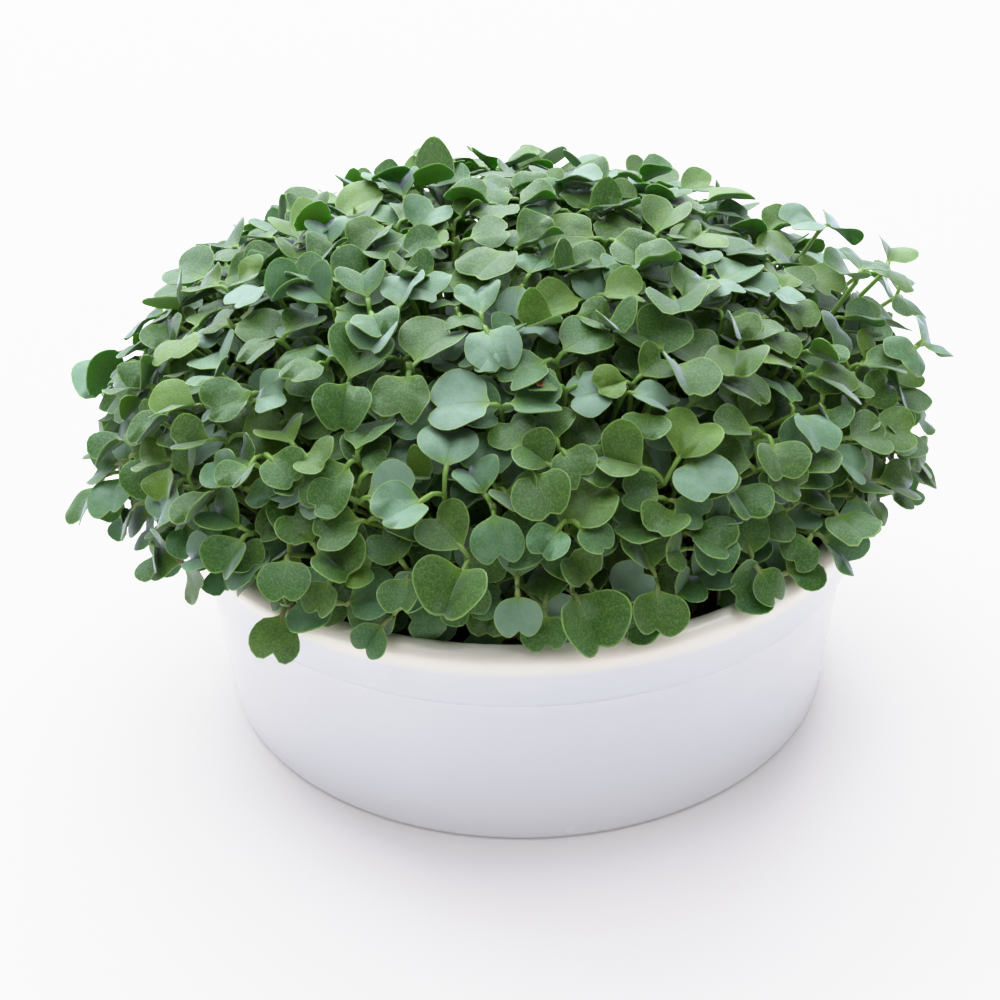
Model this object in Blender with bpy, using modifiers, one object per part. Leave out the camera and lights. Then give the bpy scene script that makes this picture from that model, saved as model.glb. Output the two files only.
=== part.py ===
"""A round glazed dish of brassica microgreens.

The dish is turned from one profile. A disc of growing medium fills it to just under the lip, with plain
round holes. In each hole stands one bunch of seedlings: a plug of knitted roots and up to eight stems,
each forking into two stalks with a broad two-lobed seed leaf. The bunches together make a dome that
leans out over the lip.

Run with: blender --background --python part.py
Lengths below are in millimetres and become metres when a mesh is made. +Z is up, the origin is the
centre of the dish's flat base, and -Y is the front.
"""
import math
import random
from collections import namedtuple

import bmesh
import bpy
from mathutils import Matrix, Vector
from mathutils.bvhtree import BVHTree

MM = 0.001
GAP = 0.3
FLAT_ANGLE = math.radians(0.05)
SEED = 11

# The dish
BASE_RADIUS = 67.4
BASE_EDGE = 1.6
FLOOR_THICKNESS = 4.0
FLOOR_RADIUS = 61.5
INNER_FOOT_RADIUS = 63.8
INNER_FOOT_HEIGHT = 6.4
WALL_TOP_RADIUS = 70.4
COLLAR_BOTTOM_RADIUS = 72.7
COLLAR_BOTTOM_HEIGHT = 38.0
COLLAR_STEP = 0.7
COLLAR_TOP_RADIUS = 75.0
COLLAR_TOP_HEIGHT = 48.4
LIP_RADIUS = 2.7
LIP_CENTRE_RADIUS = 72.6
LIP_CENTRE_HEIGHT = 48.9
LIP_STEPS = 4
TURN_STEPS = 40

# The growing medium and its holes
SOIL_TOP = 45.5
SOIL_EDGE_DROP = 1.2
SOIL_FOOT_CHAMFER = 2.6
HOLE_RADIUS = 5.6
HOLE_DEPTH = 12.0
HOLE_SIDES = 6
HOLE_COUNT = 42
HOLE_RING_RADIUS = 61.5

# The plug of roots in each hole
PLUG_RADIUS = 5.1
PLUG_TOP_DROP = 0.4
ROOT_DEPTH = 1.2
ROOT_RING_RADIUS = 2.9
ROOT_PLACES = 8

# The dome that the leaves fill
DOME_CENTRE = Vector((-3.0, 8.0, 52.0))
DOME_REACH = Vector((94.0, 88.0, 58.0))
HEAD_SHARE = 0.90
LOWEST_HEAD = -0.08
SIDE_RISE = 0.15
SPREAD_POWER = 0.70
LEAN_TO_DOME = 0.56
UPRIGHT_INSIDE = 0.9
DEEPEST = 30.0
DODGE_UP = 0.4
STRAIGHT_LEAN = 0.5
ROOT_SHARE = 0.74

# Layers of seedlings: how many, how far under the dome their forks start, how high up the dome they begin
# (cosine of the angle from its top) and how wide their leaves are. The outer layer comes first, then the
# low one just inside the lip, then one under the outer
LAYERS = (
    (121, 0.0, 1.00, (10.0, 14.2)),
    (49, 20.0, 0.25, (8.0, 11.0)),
    (73, 7.0, 0.90, (9.0, 13.0)),
)

# Leading seedlings of the front, placed by eye: bearing, cosine of the angle from the dome's top, where
# each leaf points (degrees clockwise from up the dome), the two leaf widths and the stalk length
LEADERS = (
    (-95, 0.30, -159, -42, 14.3, 11.0, 3.2),
    (-99, 0.49, 1, -132, 11.4, 11.8, 5.2),
    (-92, 0.45, -32, 173, 9.2, 9.9, 3.4),
    (-82, 0.53, -48, 87, 9.4, 8.6, 3.4),
    (-82, 0.41, -142, 141, 8.2, 7.6, 4.2),
    (-89, 0.21, 179, 2, 9.2, 8.4, 2.4),
    (-82, 0.18, 161, -6, 13.2, 9.6, 2.2),
    (-105, 0.08, -150, 48, 7.4, 7.9, 3.4),
    (-103, 0.25, -44, 179, 9.2, 8.4, 2.4),
    (-113, 0.20, 71, -170, 8.0, 7.6, 2.4),
    (-67, 0.47, 49, -58, 11.8, 11.6, 6.2),
    (-71, 0.17, -13, -163, 10.4, 11.1, 3.2),
    (-64, 0.31, 79, -180, 8.6, 8.9, 2.4),
    (-57, 0.14, 11, 168, 10.6, 8.7, 2.6),
    (-48, 0.30, 64, -60, 10.7, 8.0, 2.8),
    (-46, 0.15, 153, -115, 10.4, 8.4, 3.2),
    (-48, 0.51, -158, -66, 11.0, 8.7, 4.2),
    (-168, 0.04, 144, -101, 11.1, 9.2, 7.0),
    (-145, 0.36, -124, 157, 8.7, 8.0, 3.2),
    (-129, 0.50, 173, 107, 9.0, 9.5, 4.6),
    (-127, 0.26, -82, -176, 9.4, 9.9, 2.6),
)

# Seedlings of the right shoulder that stand out past the dome, given as the leading ones are
SHOULDER_DEPTH = -9.0
SHOULDER = (
    (10, 0.66, 150, -25, 11.6, 11.0, 3.0),
    (-6, 0.60, 95, -50, 11.4, 11.0, 3.2),
    (-9, 0.38, 120, -70, 11.8, 10.6, 3.0),
)

# One seedling
STEM_RADIUS = 0.78
CROTCH_RISE = 0.9
STALK_LENGTH = (2.6, 6.4)
STALK_HALF_WIDTH = 0.6
STALK_RISE = 30.0
LEAF_LENGTH_SHARE = 0.78
LEAF_THICKNESS = 1.0
LEAF_TILT = (-6.0, 18.0)
LEAF_CUP = (0.3, 1.6)
LOBE = ((0.10, 0.35), (0.50, 0.50), (0.93, 0.34))
PLAIN_LOBE = ((0.22, 0.46), (0.90, 0.40))
NOTCH = 0.80
TRIES = 160
NEAR_PLACES = 6
LIP_ARCH = 14.0
CLEARANCE = 0.35

GOLDEN_ANGLE = math.pi * (3.0 - math.sqrt(5.0))
UP = Vector((0.0, 0.0, 1.0))

Wish = namedtuple("Wish", "bearing share_up depth leaf_width leader")
Seedling = namedtuple("Seedling", "root bend fork axis turns widths stalk tilts cups plain")


def clear_scene():
    for old in list(bpy.data.objects):
        bpy.data.objects.remove(old, do_unlink=True)


def make_material(name, colour, roughness):
    material = bpy.data.materials.new(name)
    material.use_nodes = True
    shader = material.node_tree.nodes["Principled BSDF"]
    shader.inputs["Base Color"].default_value = (*colour, 1.0)
    shader.inputs["Roughness"].default_value = roughness
    shader.inputs["Metallic"].default_value = 0.0
    return material


def add_object(name, mesh, collection, material=None):
    made = bpy.data.objects.new(name, mesh)
    collection.objects.link(made)
    if material:
        mesh.materials.append(material)
    return made


def mesh_from(bm, name):
    """A mesh in metres from a bmesh in millimetres."""
    bmesh.ops.transform(bm, matrix=Matrix.Scale(MM, 4), verts=bm.verts)
    mesh = bpy.data.meshes.new(name)
    bm.to_mesh(mesh)
    bm.free()
    return mesh


def bake_modifiers(made):
    """Replace an object's mesh by what its modifiers make of it."""
    bpy.context.view_layer.update()
    graph = bpy.context.evaluated_depsgraph_get()
    finished = bpy.data.meshes.new_from_object(made.evaluated_get(graph))
    made.modifiers.clear()
    made.data = finished


def merge_flat_faces(made):
    """Drop the edges and points that a union leaves in the middle of flat faces."""
    bm = bmesh.new()
    bm.from_mesh(made.data)
    bmesh.ops.dissolve_limit(bm, angle_limit=FLAT_ANGLE, verts=bm.verts, edges=bm.edges)
    bm.to_mesh(made.data)
    bm.free()


def dish_profile():
    """Radius and height pairs from the middle of the floor, over the lip and down to the base."""
    profile = [(0.0, FLOOR_THICKNESS), (FLOOR_RADIUS, FLOOR_THICKNESS)]
    profile.append((INNER_FOOT_RADIUS, INNER_FOOT_HEIGHT))
    for step in range(LIP_STEPS + 1):
        angle = math.pi * (1.0 - step / LIP_STEPS)
        profile.append((LIP_CENTRE_RADIUS + LIP_RADIUS * math.cos(angle),
                        LIP_CENTRE_HEIGHT + LIP_RADIUS * math.sin(angle)))
    profile.append((COLLAR_TOP_RADIUS, COLLAR_TOP_HEIGHT))
    profile.append((COLLAR_BOTTOM_RADIUS, COLLAR_BOTTOM_HEIGHT))
    profile.append((COLLAR_BOTTOM_RADIUS - COLLAR_STEP, COLLAR_BOTTOM_HEIGHT - COLLAR_STEP))
    profile.append((WALL_TOP_RADIUS, COLLAR_BOTTOM_HEIGHT - COLLAR_STEP))
    profile.append((BASE_RADIUS, BASE_EDGE))
    profile.append((BASE_RADIUS - BASE_EDGE, 0.0))
    profile.append((0.0, 0.0))
    return profile


def build_dish(collection, material):
    bm = bmesh.new()
    corners = [bm.verts.new((radius, 0.0, height)) for radius, height in dish_profile()]
    for first, second in zip(corners, corners[1:]):
        bm.edges.new((first, second))
    dish = add_object("bowl", mesh_from(bm, "bowl"), collection, material)
    turn = dish.modifiers.new("turn", "SCREW")
    turn.angle = math.tau
    turn.steps = TURN_STEPS
    turn.render_steps = TURN_STEPS
    turn.use_merge_vertices = True
    turn.merge_threshold = 0.00001
    return dish


def inner_wall_radius(height):
    """Radius of the dish's inner wall, which runs straight from the foot to the lip."""
    lip_radius = LIP_CENTRE_RADIUS - LIP_RADIUS
    share = (height - INNER_FOOT_HEIGHT) / (LIP_CENTRE_HEIGHT - INNER_FOOT_HEIGHT)
    return INNER_FOOT_RADIUS + share * (lip_radius - INNER_FOOT_RADIUS)


def hole_centres():
    """Places of the holes, spiralling out from the middle as seeds do in a sunflower."""
    centres = []
    for index in range(HOLE_COUNT):
        radius = HOLE_RING_RADIUS * math.sqrt((index + 0.5) / HOLE_COUNT)
        angle = index * GOLDEN_ANGLE
        centres.append(Vector((radius * math.cos(angle), radius * math.sin(angle), SOIL_TOP)))
    return centres


def add_prism(bm, centre, radius, bottom, top):
    place = Matrix.Translation((centre.x, centre.y, (bottom + top) / 2.0))
    bmesh.ops.create_cone(bm, cap_ends=True, segments=HOLE_SIDES, radius1=radius, radius2=radius,
                          depth=top - bottom, matrix=place)


def build_soil(centres, collection, cutters, material):
    """A disc that fills the dish, with one plain hole for each bunch of seedlings."""
    bottom = FLOOR_THICKNESS + GAP
    bottom_radius = inner_wall_radius(bottom) - GAP
    top_radius = inner_wall_radius(SOIL_TOP) - GAP
    bm = bmesh.new()
    place = Matrix.Translation((0.0, 0.0, (bottom + SOIL_TOP) / 2.0))
    bmesh.ops.create_cone(bm, cap_ends=True, segments=TURN_STEPS, radius1=bottom_radius,
                          radius2=top_radius, depth=SOIL_TOP - bottom, matrix=place)
    middle = (bottom + SOIL_TOP) / 2.0
    foot = [edge for edge in bm.edges if all(vert.co.z < middle for vert in edge.verts)]
    bmesh.ops.bevel(bm, geom=foot, offset=SOIL_FOOT_CHAMFER, segments=1, affect="EDGES")
    brim = [edge for edge in bm.edges if all(vert.co.z > middle for vert in edge.verts)]
    bmesh.ops.bevel(bm, geom=brim, offset=SOIL_EDGE_DROP, segments=1, affect="EDGES")
    soil = add_object("soil", mesh_from(bm, "soil"), collection, material)

    bm = bmesh.new()
    for centre in centres:
        add_prism(bm, centre, HOLE_RADIUS, SOIL_TOP - HOLE_DEPTH, SOIL_TOP + HOLE_DEPTH)
    drills = add_object("hole_drills", mesh_from(bm, "hole_drills"), cutters)
    drills.hide_render = True
    drills.display_type = "WIRE"
    cut = soil.modifiers.new("holes", "BOOLEAN")
    cut.operation = "DIFFERENCE"
    cut.object = drills
    return soil


def dome_point(bearing, share_up, reach=1.0):
    """A point of the dome, by its bearing and by the cosine of its angle from the top."""
    out = math.sqrt(max(0.0, 1.0 - share_up * share_up))
    point = Vector((out * math.cos(bearing), out * math.sin(bearing), share_up))
    return DOME_CENTRE + reach * Vector(a * b for a, b in zip(point, DOME_REACH))


def dome_normal(point):
    out = point - DOME_CENTRE
    return Vector(a / (b * b) for a, b in zip(out, DOME_REACH)).normalized()


def lowest_head(bearing):
    """Cosine of the lowest forks at a bearing: the leaves hang over the front lip and keep higher behind."""
    return LOWEST_HEAD + SIDE_RISE * (1.0 + math.sin(bearing))


def side_vectors(axis):
    """Two directions square to an axis: one that runs up the dome, one to its right seen from outside."""
    right = UP.cross(axis)
    right = right.normalized() if right.length > 1e-3 else Vector((1.0, 0.0, 0.0))
    return axis.cross(right).normalized(), right


def leaf_points(base, along, face, width, cup, lobe):
    """Outline of one seed leaf, from its left base round to its right, then its middle top and bottom."""
    left = face.cross(along)
    length = width * LEAF_LENGTH_SHARE
    outline = [(0.0, STALK_HALF_WIDTH, 0.0)]
    for share_along, share_out in lobe:
        outline.append((share_along * length, share_out * width, cup * (2.0 * share_out) ** 2))
    mirrored = [(u, -v, w) for u, v, w in reversed(outline)]
    outline.append((NOTCH * length, 0.0, 0.0))
    points = [base + along * u + left * v + face * w for u, v, w in outline + mirrored]
    middle = base + along * (0.5 * length)
    points.append(middle + face * (LEAF_THICKNESS / 2.0))
    points.append(middle - face * (LEAF_THICKNESS / 2.0))
    return points


def seedling_skin(plant):
    """Points and triangles of one seedling: a three-sided stem that forks into two leaves."""
    ahead, right = side_vectors(plant.axis)
    spans = []
    for turn in plant.turns:
        spans.append(ahead * math.cos(turn) + right * math.sin(turn))
    points = []
    front = spans[0]
    if plant.bend:
        rings = ((plant.root, UP), (plant.bend, UP), (plant.fork, plant.axis))
    else:
        rings = ((plant.root, UP), (plant.fork, UP))
    for centre, axis in rings:
        forward = (front - axis * front.dot(axis)).normalized()
        for corner in range(3):
            turned = Matrix.Rotation(corner * math.tau / 3.0, 3, axis) @ forward
            points.append(centre + turned * STEM_RADIUS)
    faces = [(2, 1, 0)]
    for ring in range(0, 3 * (len(rings) - 1), 3):
        for corner in range(3):
            a, b = ring + corner, ring + (corner + 1) % 3
            faces.extend([(a, b, b + 3), (a, b + 3, a + 3)])
    crotch = len(points)
    points.append(plant.fork + plant.axis * CROTCH_RISE)

    lobe = PLAIN_LOBE if plant.plain else LOBE
    edge_count = 2 * len(lobe) + 2
    starts = []
    for span, width, tilt, cup in zip(spans, plant.widths, plant.tilts, plant.cups):
        rise = math.radians(STALK_RISE)
        base = plant.fork + (span * math.cos(rise) + plant.axis * math.sin(rise)) * plant.stalk
        along = (span * math.cos(tilt) + plant.axis * math.sin(tilt)).normalized()
        face = (plant.axis * math.cos(tilt) - span * math.sin(tilt)).normalized()
        starts.append(len(points))
        points.extend(leaf_points(base, along, face, width, cup, lobe))

    for start in starts:
        top, under = start + edge_count + 1, start + edge_count + 2
        for step in range(edge_count):
            faces.append((start + step + 1, start + step, top))
            faces.append((start + step, start + step + 1, under))

    under_front, left_back, right_back = crotch - 3, crotch - 2, crotch - 1
    left, right_side, top, under = leaf_handles(starts[0], edge_count)
    faces.extend([(crotch, left_back, left), (crotch, left, top)])
    faces.extend([(left_back, under_front, left), (under_front, under, left)])
    faces.extend([(under_front, right_back, right_side), (under_front, right_side, under)])
    faces.extend([(right_back, crotch, right_side), (crotch, top, right_side)])
    left, right_side, top, under = leaf_handles(starts[1], edge_count)
    faces.extend([(crotch, right_back, left), (crotch, left, top)])
    faces.extend([(left_back, crotch, right_side), (crotch, top, right_side)])
    faces.extend([(right_back, left_back, under), (right_back, under, left), (left_back, right_side, under)])
    return points, faces


def leaf_handles(start, edge_count):
    """Indices of a leaf's left base, right base, middle top and middle bottom."""
    return start, start + edge_count, start + edge_count + 1, start + edge_count + 2


def stem_bend(root, fork):
    """Middle of the stem, which rises first and then leans towards its leaves, clear over the lip."""
    steady = Vector((root.x, root.y, root.z + 0.8 * (fork.z - root.z)))
    lifted = steady.lerp(Vector((fork.x, fork.y, steady.z)), 0.25)
    if math.hypot(fork.x, fork.y) > inner_wall_radius(SOIL_TOP):
        lifted.z = max(lifted.z, LIP_CENTRE_HEIGHT + LIP_ARCH)
    return root * 0.25 + lifted * 0.5 + fork * 0.25


def plan_seedling(draw, wish, root, effort):
    """One trial shape for a wish. The effort grows from 0 to 1 as trials fail and shifts it further."""
    shift = 0.06 * (effort if wish.leader else 1.0)
    bearing = wish.bearing + draw.uniform(-shift, shift)
    share_up = wish.share_up + draw.uniform(-shift, shift)
    share_up = min(1.0, max(lowest_head(bearing), share_up + (1.0 - share_up) * DODGE_UP * effort))
    surface = dome_point(bearing, share_up, HEAD_SHARE)
    depth = wish.depth + (DEEPEST - wish.depth) * effort
    fork = surface - dome_normal(surface) * depth
    lean = LEAN_TO_DOME * (1.0 - UPRIGHT_INSIDE * depth / DEEPEST)
    axis = (dome_normal(fork) * lean + UP * (1.0 - lean)).normalized()
    tilts = tuple(math.radians(draw.uniform(*LEAF_TILT)) for _ in range(2))
    cups = tuple(draw.uniform(*LEAF_CUP) for _ in range(2))
    if wish.leader:
        turns = tuple(math.radians(turn) + draw.uniform(-shift, shift) * 6.0 for turn in wish.leader[2:4])
        widths = wish.leader[4:6]
        stalk = wish.leader[6]
    else:
        wobble = Vector((draw.uniform(-0.25, 0.25), draw.uniform(-0.25, 0.25), 0.0))
        axis = (axis + wobble).normalized()
        turn = draw.uniform(0.0, math.tau)
        turns = (turn, turn + math.pi + draw.uniform(-0.5, 0.5))
        width = draw.uniform(*wish.leaf_width)
        widths = (width, width * draw.uniform(0.8, 1.0))
        stalk = draw.uniform(*STALK_LENGTH)
    inside = wish.depth > 0.0
    straight = inside and (fork.xy - root.xy).length < STRAIGHT_LEAN * (fork.z - root.z)
    bend = None if straight else stem_bend(root, fork)
    return Seedling(root, bend, fork, axis, turns, widths, stalk, tilts, cups, inside)


class Crowd:
    """The seedlings that already stand, so that the next one can be kept clear of them."""

    def __init__(self):
        self.trees = []

    def is_clear(self, points, faces, middle):
        tree = BVHTree.FromPolygons(points, faces)
        for other, other_middle in self.trees:
            if (other_middle - middle).length > 62.0:
                continue
            if tree.overlap(other):
                return False
            for point in points[3:]:
                if other.find_nearest(point, CLEARANCE)[0] is not None:
                    return False
        return True

    def add(self, points, faces, middle):
        self.trees.append((BVHTree.FromPolygons(points, faces), middle))


def clear_of_dish(points, plant, centre):
    """True where the stem leaves through its hole and all else stays off the medium and the lip."""
    upper = plant.bend or plant.fork
    share = (SOIL_TOP + GAP - plant.root.z) / (upper.z - plant.root.z)
    crossing = plant.root.lerp(upper, share)
    hole_flat = HOLE_RADIUS * math.cos(math.pi / HOLE_SIDES)
    if (crossing.xy - centre.xy).length > hole_flat - STEM_RADIUS - GAP:
        return False
    for point in points[3:]:
        radius = math.hypot(point.x, point.y)
        if point.z < SOIL_TOP + GAP + 0.5 and radius < LIP_CENTRE_RADIUS:
            return False
        if point.z < LIP_CENTRE_HEIGHT + LIP_RADIUS + 1.0:
            if inner_wall_radius(SOIL_TOP) - 1.0 < radius < COLLAR_TOP_RADIUS + 1.5:
                return False
    return True


def wishes():
    """Where seedlings should stand: the leaders first, then each layer in a spiral down the dome."""
    for depth, leaders in ((0.0, LEADERS), (SHOULDER_DEPTH, SHOULDER)):
        for leader in leaders:
            yield Wish(math.radians(leader[0]), leader[1], depth, None, leader)
    for count, depth, top, leaf_width in LAYERS:
        for index in range(count):
            share = (index + 0.5) / count
            bearing = index * GOLDEN_ANGLE
            lowest = lowest_head(bearing)
            share_up = lowest + (top - lowest) * (1.0 - share) ** SPREAD_POWER
            yield Wish(bearing, share_up, depth, leaf_width, None)


def wished_root(wish):
    """Where the root of a wish would stand if the medium's whole face were free."""
    surface = dome_point(wish.bearing, wish.share_up, HEAD_SHARE)
    goal = (surface - dome_normal(surface) * wish.depth).xy * ROOT_SHARE
    return goal * min(1.0, HOLE_RING_RADIUS / goal.length)


def root_places(draw, centres):
    """Every place for a root, with its hole's number: one in the middle of the plug and a ring round it."""
    height = SOIL_TOP - PLUG_TOP_DROP - ROOT_DEPTH
    places = []
    for hole, centre in enumerate(centres):
        start = draw.uniform(0.0, math.tau)
        for place in range(ROOT_PLACES):
            ring = 0.0 if place == 0 else ROOT_RING_RADIUS
            angle = start + place * math.tau / (ROOT_PLACES - 1)
            spot = Vector((centre.x + ring * math.cos(angle), centre.y + ring * math.sin(angle), height))
            places.append((hole, spot))
    return places


def grow_seedlings(centres):
    """Skins of all seedlings, listed by hole. Each takes a free place near its wish and bends clear."""
    draw = random.Random(SEED)
    crowd = Crowd()
    free = root_places(draw, centres)
    bunches = [[] for _ in centres]
    for wish in wishes():
        goal = wished_root(wish)
        free.sort(key=lambda item: (item[1].xy - goal).length)
        for attempt in range(TRIES):
            hole, root = free[attempt % min(NEAR_PLACES, len(free))]
            plant = plan_seedling(draw, wish, root, (attempt / TRIES) ** 1.2)
            points, faces = seedling_skin(plant)
            if clear_of_dish(points, plant, centres[hole]) and crowd.is_clear(points, faces, plant.fork):
                crowd.add(points, faces, plant.fork)
                bunches[hole].append((points, faces))
                free.remove((hole, root))
                break
    return bunches


def build_bunch(name, centre, skins, collection, material):
    """One bunch: a plug of roots with its seedlings joined to it by one union."""
    bm = bmesh.new()
    add_prism(bm, centre, PLUG_RADIUS, SOIL_TOP - HOLE_DEPTH + GAP, SOIL_TOP - PLUG_TOP_DROP)
    bunch = add_object(name, mesh_from(bm, name), collection, material)
    helpers = bpy.data.collections.new(name + "_stems")
    bpy.context.scene.collection.children.link(helpers)
    for points, faces in skins:
        bm = bmesh.new()
        verts = [bm.verts.new(point) for point in points]
        for face in faces:
            bm.faces.new([verts[index] for index in face])
        bmesh.ops.recalc_face_normals(bm, faces=bm.faces)
        add_object("stem", mesh_from(bm, "stem"), helpers)
    join = bunch.modifiers.new("join", "BOOLEAN")
    join.operation = "UNION"
    join.operand_type = "COLLECTION"
    join.collection = helpers
    join.solver = "MANIFOLD"
    bake_modifiers(bunch)
    merge_flat_faces(bunch)
    for helper in list(helpers.objects):
        bpy.data.objects.remove(helper, do_unlink=True)
    bpy.data.collections.remove(helpers)
    return bunch


def build():
    clear_scene()
    greens = bpy.data.collections.new("microgreens_dish")
    cutters = bpy.data.collections.new("cutters")
    for made in (greens, cutters):
        bpy.context.scene.collection.children.link(made)
    glaze = make_material("white_glaze", (0.86, 0.86, 0.88), 0.18)
    earth = make_material("growing_medium", (0.10, 0.055, 0.03), 0.95)
    leaf = make_material("seed_leaf_green", (0.16, 0.33, 0.14), 0.55)
    build_dish(greens, glaze)
    centres = hole_centres()
    build_soil(centres, greens, cutters, earth)
    bunches = grow_seedlings(centres)
    for number, (centre, skins) in enumerate(zip(centres, bunches), start=1):
        build_bunch(f"seedlings_{number:02d}", centre, skins, greens, leaf)


build()
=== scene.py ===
"""The looks of a round glazed dish of brassica microgreens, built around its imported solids.

The bunches of seedlings are grown again by the rule and the draws of the solids, so every fine seedling
stands where its plain one does. More seedlings then fill the gaps between them. Lengths in the first
parts are in millimetres and become metres when a mesh is made. +Z is up and -Y is the front.
"""

import math
import random
from collections import namedtuple
from functools import partial

import bpy
import numpy as np
from mathutils import Matrix, Vector, noise
from mathutils.bvhtree import BVHTree


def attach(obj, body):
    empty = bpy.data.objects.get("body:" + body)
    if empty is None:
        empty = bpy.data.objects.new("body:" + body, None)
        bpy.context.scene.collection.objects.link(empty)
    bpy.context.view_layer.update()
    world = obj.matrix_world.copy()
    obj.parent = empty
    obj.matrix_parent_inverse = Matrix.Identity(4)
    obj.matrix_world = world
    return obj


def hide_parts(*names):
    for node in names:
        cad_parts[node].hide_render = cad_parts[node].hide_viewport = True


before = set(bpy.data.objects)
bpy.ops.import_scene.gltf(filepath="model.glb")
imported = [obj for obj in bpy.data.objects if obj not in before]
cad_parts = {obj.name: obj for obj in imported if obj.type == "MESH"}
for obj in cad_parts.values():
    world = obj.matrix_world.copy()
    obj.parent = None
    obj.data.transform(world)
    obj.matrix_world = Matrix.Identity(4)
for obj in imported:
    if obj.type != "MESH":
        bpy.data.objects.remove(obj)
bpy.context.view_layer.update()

MM = 0.001
UP = Vector((0.0, 0.0, 1.0))
GOLDEN_ANGLE = math.pi * (3.0 - math.sqrt(5.0))

# The dish
BASE_RADIUS = 67.4
BASE_EDGE = 1.6
FLOOR_THICKNESS = 4.0
FLOOR_RADIUS = 61.5
INNER_FOOT_RADIUS = 63.8
INNER_FOOT_HEIGHT = 6.4
WALL_TOP_RADIUS = 70.4
COLLAR_BOTTOM_RADIUS = 72.7
COLLAR_BOTTOM_HEIGHT = 38.0
COLLAR_STEP = 0.7
COLLAR_TOP_RADIUS = 75.0
COLLAR_TOP_HEIGHT = 48.4
LIP_RADIUS = 2.7
LIP_CENTRE_RADIUS = 72.6
LIP_CENTRE_HEIGHT = 48.9
DISH_SIDES = 112
DISH_SHARP_EDGE = 50.0
# The wall bends out under the collar, by these steps from where it would meet the collar's shelf
WALL_STEPS = ((-0.9, -12.0), (-0.1, -1.2), (0.3, -0.3))
SHELF_INSET = 1.3
COLLAR_EDGE = 0.9
COLLAR_TOP_INSET = 0.25
COLLAR_TOP_DROP = 2.0
INSIDE_RING_HEIGHT = 30.0

# The growing medium and the rule that the seedlings grow by, as in the solids
GAP = 0.3
SEED = 11
SOIL_TOP = 45.5
HOLE_RADIUS = 5.6
HOLE_SIDES = 6
HOLE_COUNT = 42
HOLE_RING_RADIUS = 61.5
PLUG_TOP_DROP = 0.4
ROOT_DEPTH = 1.2
ROOT_HEIGHT = SOIL_TOP - PLUG_TOP_DROP - ROOT_DEPTH
ROOT_RING_RADIUS = 2.9
ROOT_PLACES = 8
DOME_CENTRE = Vector((-3.0, 8.0, 52.0))
DOME_REACH = Vector((94.0, 88.0, 58.0))
HEAD_SHARE = 0.90
LOWEST_HEAD = -0.08
SIDE_RISE = 0.15
SPREAD_POWER = 0.70
LEAN_TO_DOME = 0.56
UPRIGHT_INSIDE = 0.9
DEEPEST = 30.0
DODGE_UP = 0.4
STRAIGHT_LEAN = 0.5
BEND_RISE = 0.8
BEND_SHIFT = 0.25
ROOT_SHARE = 0.74
WISH_SCATTER = 0.06
LEADER_TURN_SCATTER = 6.0
AXIS_WOBBLE = 0.25
TURN_SCATTER = 0.5
SECOND_LEAF_SHARE = (0.8, 1.0)
# Each layer: how many, how far under the dome, how high up it at most, and the leaves' widths
LAYERS = (
    (121, 0.0, 1.00, (10.0, 14.2)),
    (49, 20.0, 0.25, (8.0, 11.0)),
    (73, 7.0, 0.90, (9.0, 13.0)),
)
# Each leading seedling: bearing, height on the dome, the two leaves' turns, their widths and the stalk
LEADERS = (
    (-95, 0.30, -159, -42, 14.3, 11.0, 3.2),
    (-99, 0.49, 1, -132, 11.4, 11.8, 5.2),
    (-92, 0.45, -32, 173, 9.2, 9.9, 3.4),
    (-82, 0.53, -48, 87, 9.4, 8.6, 3.4),
    (-82, 0.41, -142, 141, 8.2, 7.6, 4.2),
    (-89, 0.21, 179, 2, 9.2, 8.4, 2.4),
    (-82, 0.18, 161, -6, 13.2, 9.6, 2.2),
    (-105, 0.08, -150, 48, 7.4, 7.9, 3.4),
    (-103, 0.25, -44, 179, 9.2, 8.4, 2.4),
    (-113, 0.20, 71, -170, 8.0, 7.6, 2.4),
    (-67, 0.47, 49, -58, 11.8, 11.6, 6.2),
    (-71, 0.17, -13, -163, 10.4, 11.1, 3.2),
    (-64, 0.31, 79, -180, 8.6, 8.9, 2.4),
    (-57, 0.14, 11, 168, 10.6, 8.7, 2.6),
    (-48, 0.30, 64, -60, 10.7, 8.0, 2.8),
    (-46, 0.15, 153, -115, 10.4, 8.4, 3.2),
    (-48, 0.51, -158, -66, 11.0, 8.7, 4.2),
    (-168, 0.04, 144, -101, 11.1, 9.2, 7.0),
    (-145, 0.36, -124, 157, 8.7, 8.0, 3.2),
    (-129, 0.50, 173, 107, 9.0, 9.5, 4.6),
    (-127, 0.26, -82, -176, 9.4, 9.9, 2.6),
)
SHOULDER_DEPTH = -9.0
SHOULDER = (
    (10, 0.66, 150, -25, 11.6, 11.0, 3.0),
    (-6, 0.60, 95, -50, 11.4, 11.0, 3.2),
    (-9, 0.38, 120, -70, 11.8, 10.6, 3.0),
)
STEM_RADIUS = 0.78
CROTCH_RISE = 0.9
STALK_LENGTH = (2.6, 6.4)
STALK_HALF_WIDTH = 0.6
STALK_RISE = 30.0
LEAF_LENGTH_SHARE = 0.78
LEAF_THICKNESS = 1.0
LEAF_TILT = (-6.0, 18.0)
LEAF_CUP = (0.3, 1.6)
LOBE = ((0.10, 0.35), (0.50, 0.50), (0.93, 0.34))
PLAIN_LOBE = ((0.22, 0.46), (0.90, 0.40))
NOTCH = 0.80
TRIES = 160
EFFORT_POWER = 1.2
NEAR_PLACES = 6
LIP_ARCH = 14.0
CLEARANCE = 0.35
CROWD_REACH = 62.0
OVER_SOIL = 0.5
OVER_LIP = 1.0
INSIDE_LIP = 1.0
OUTSIDE_LIP = 1.5

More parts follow.
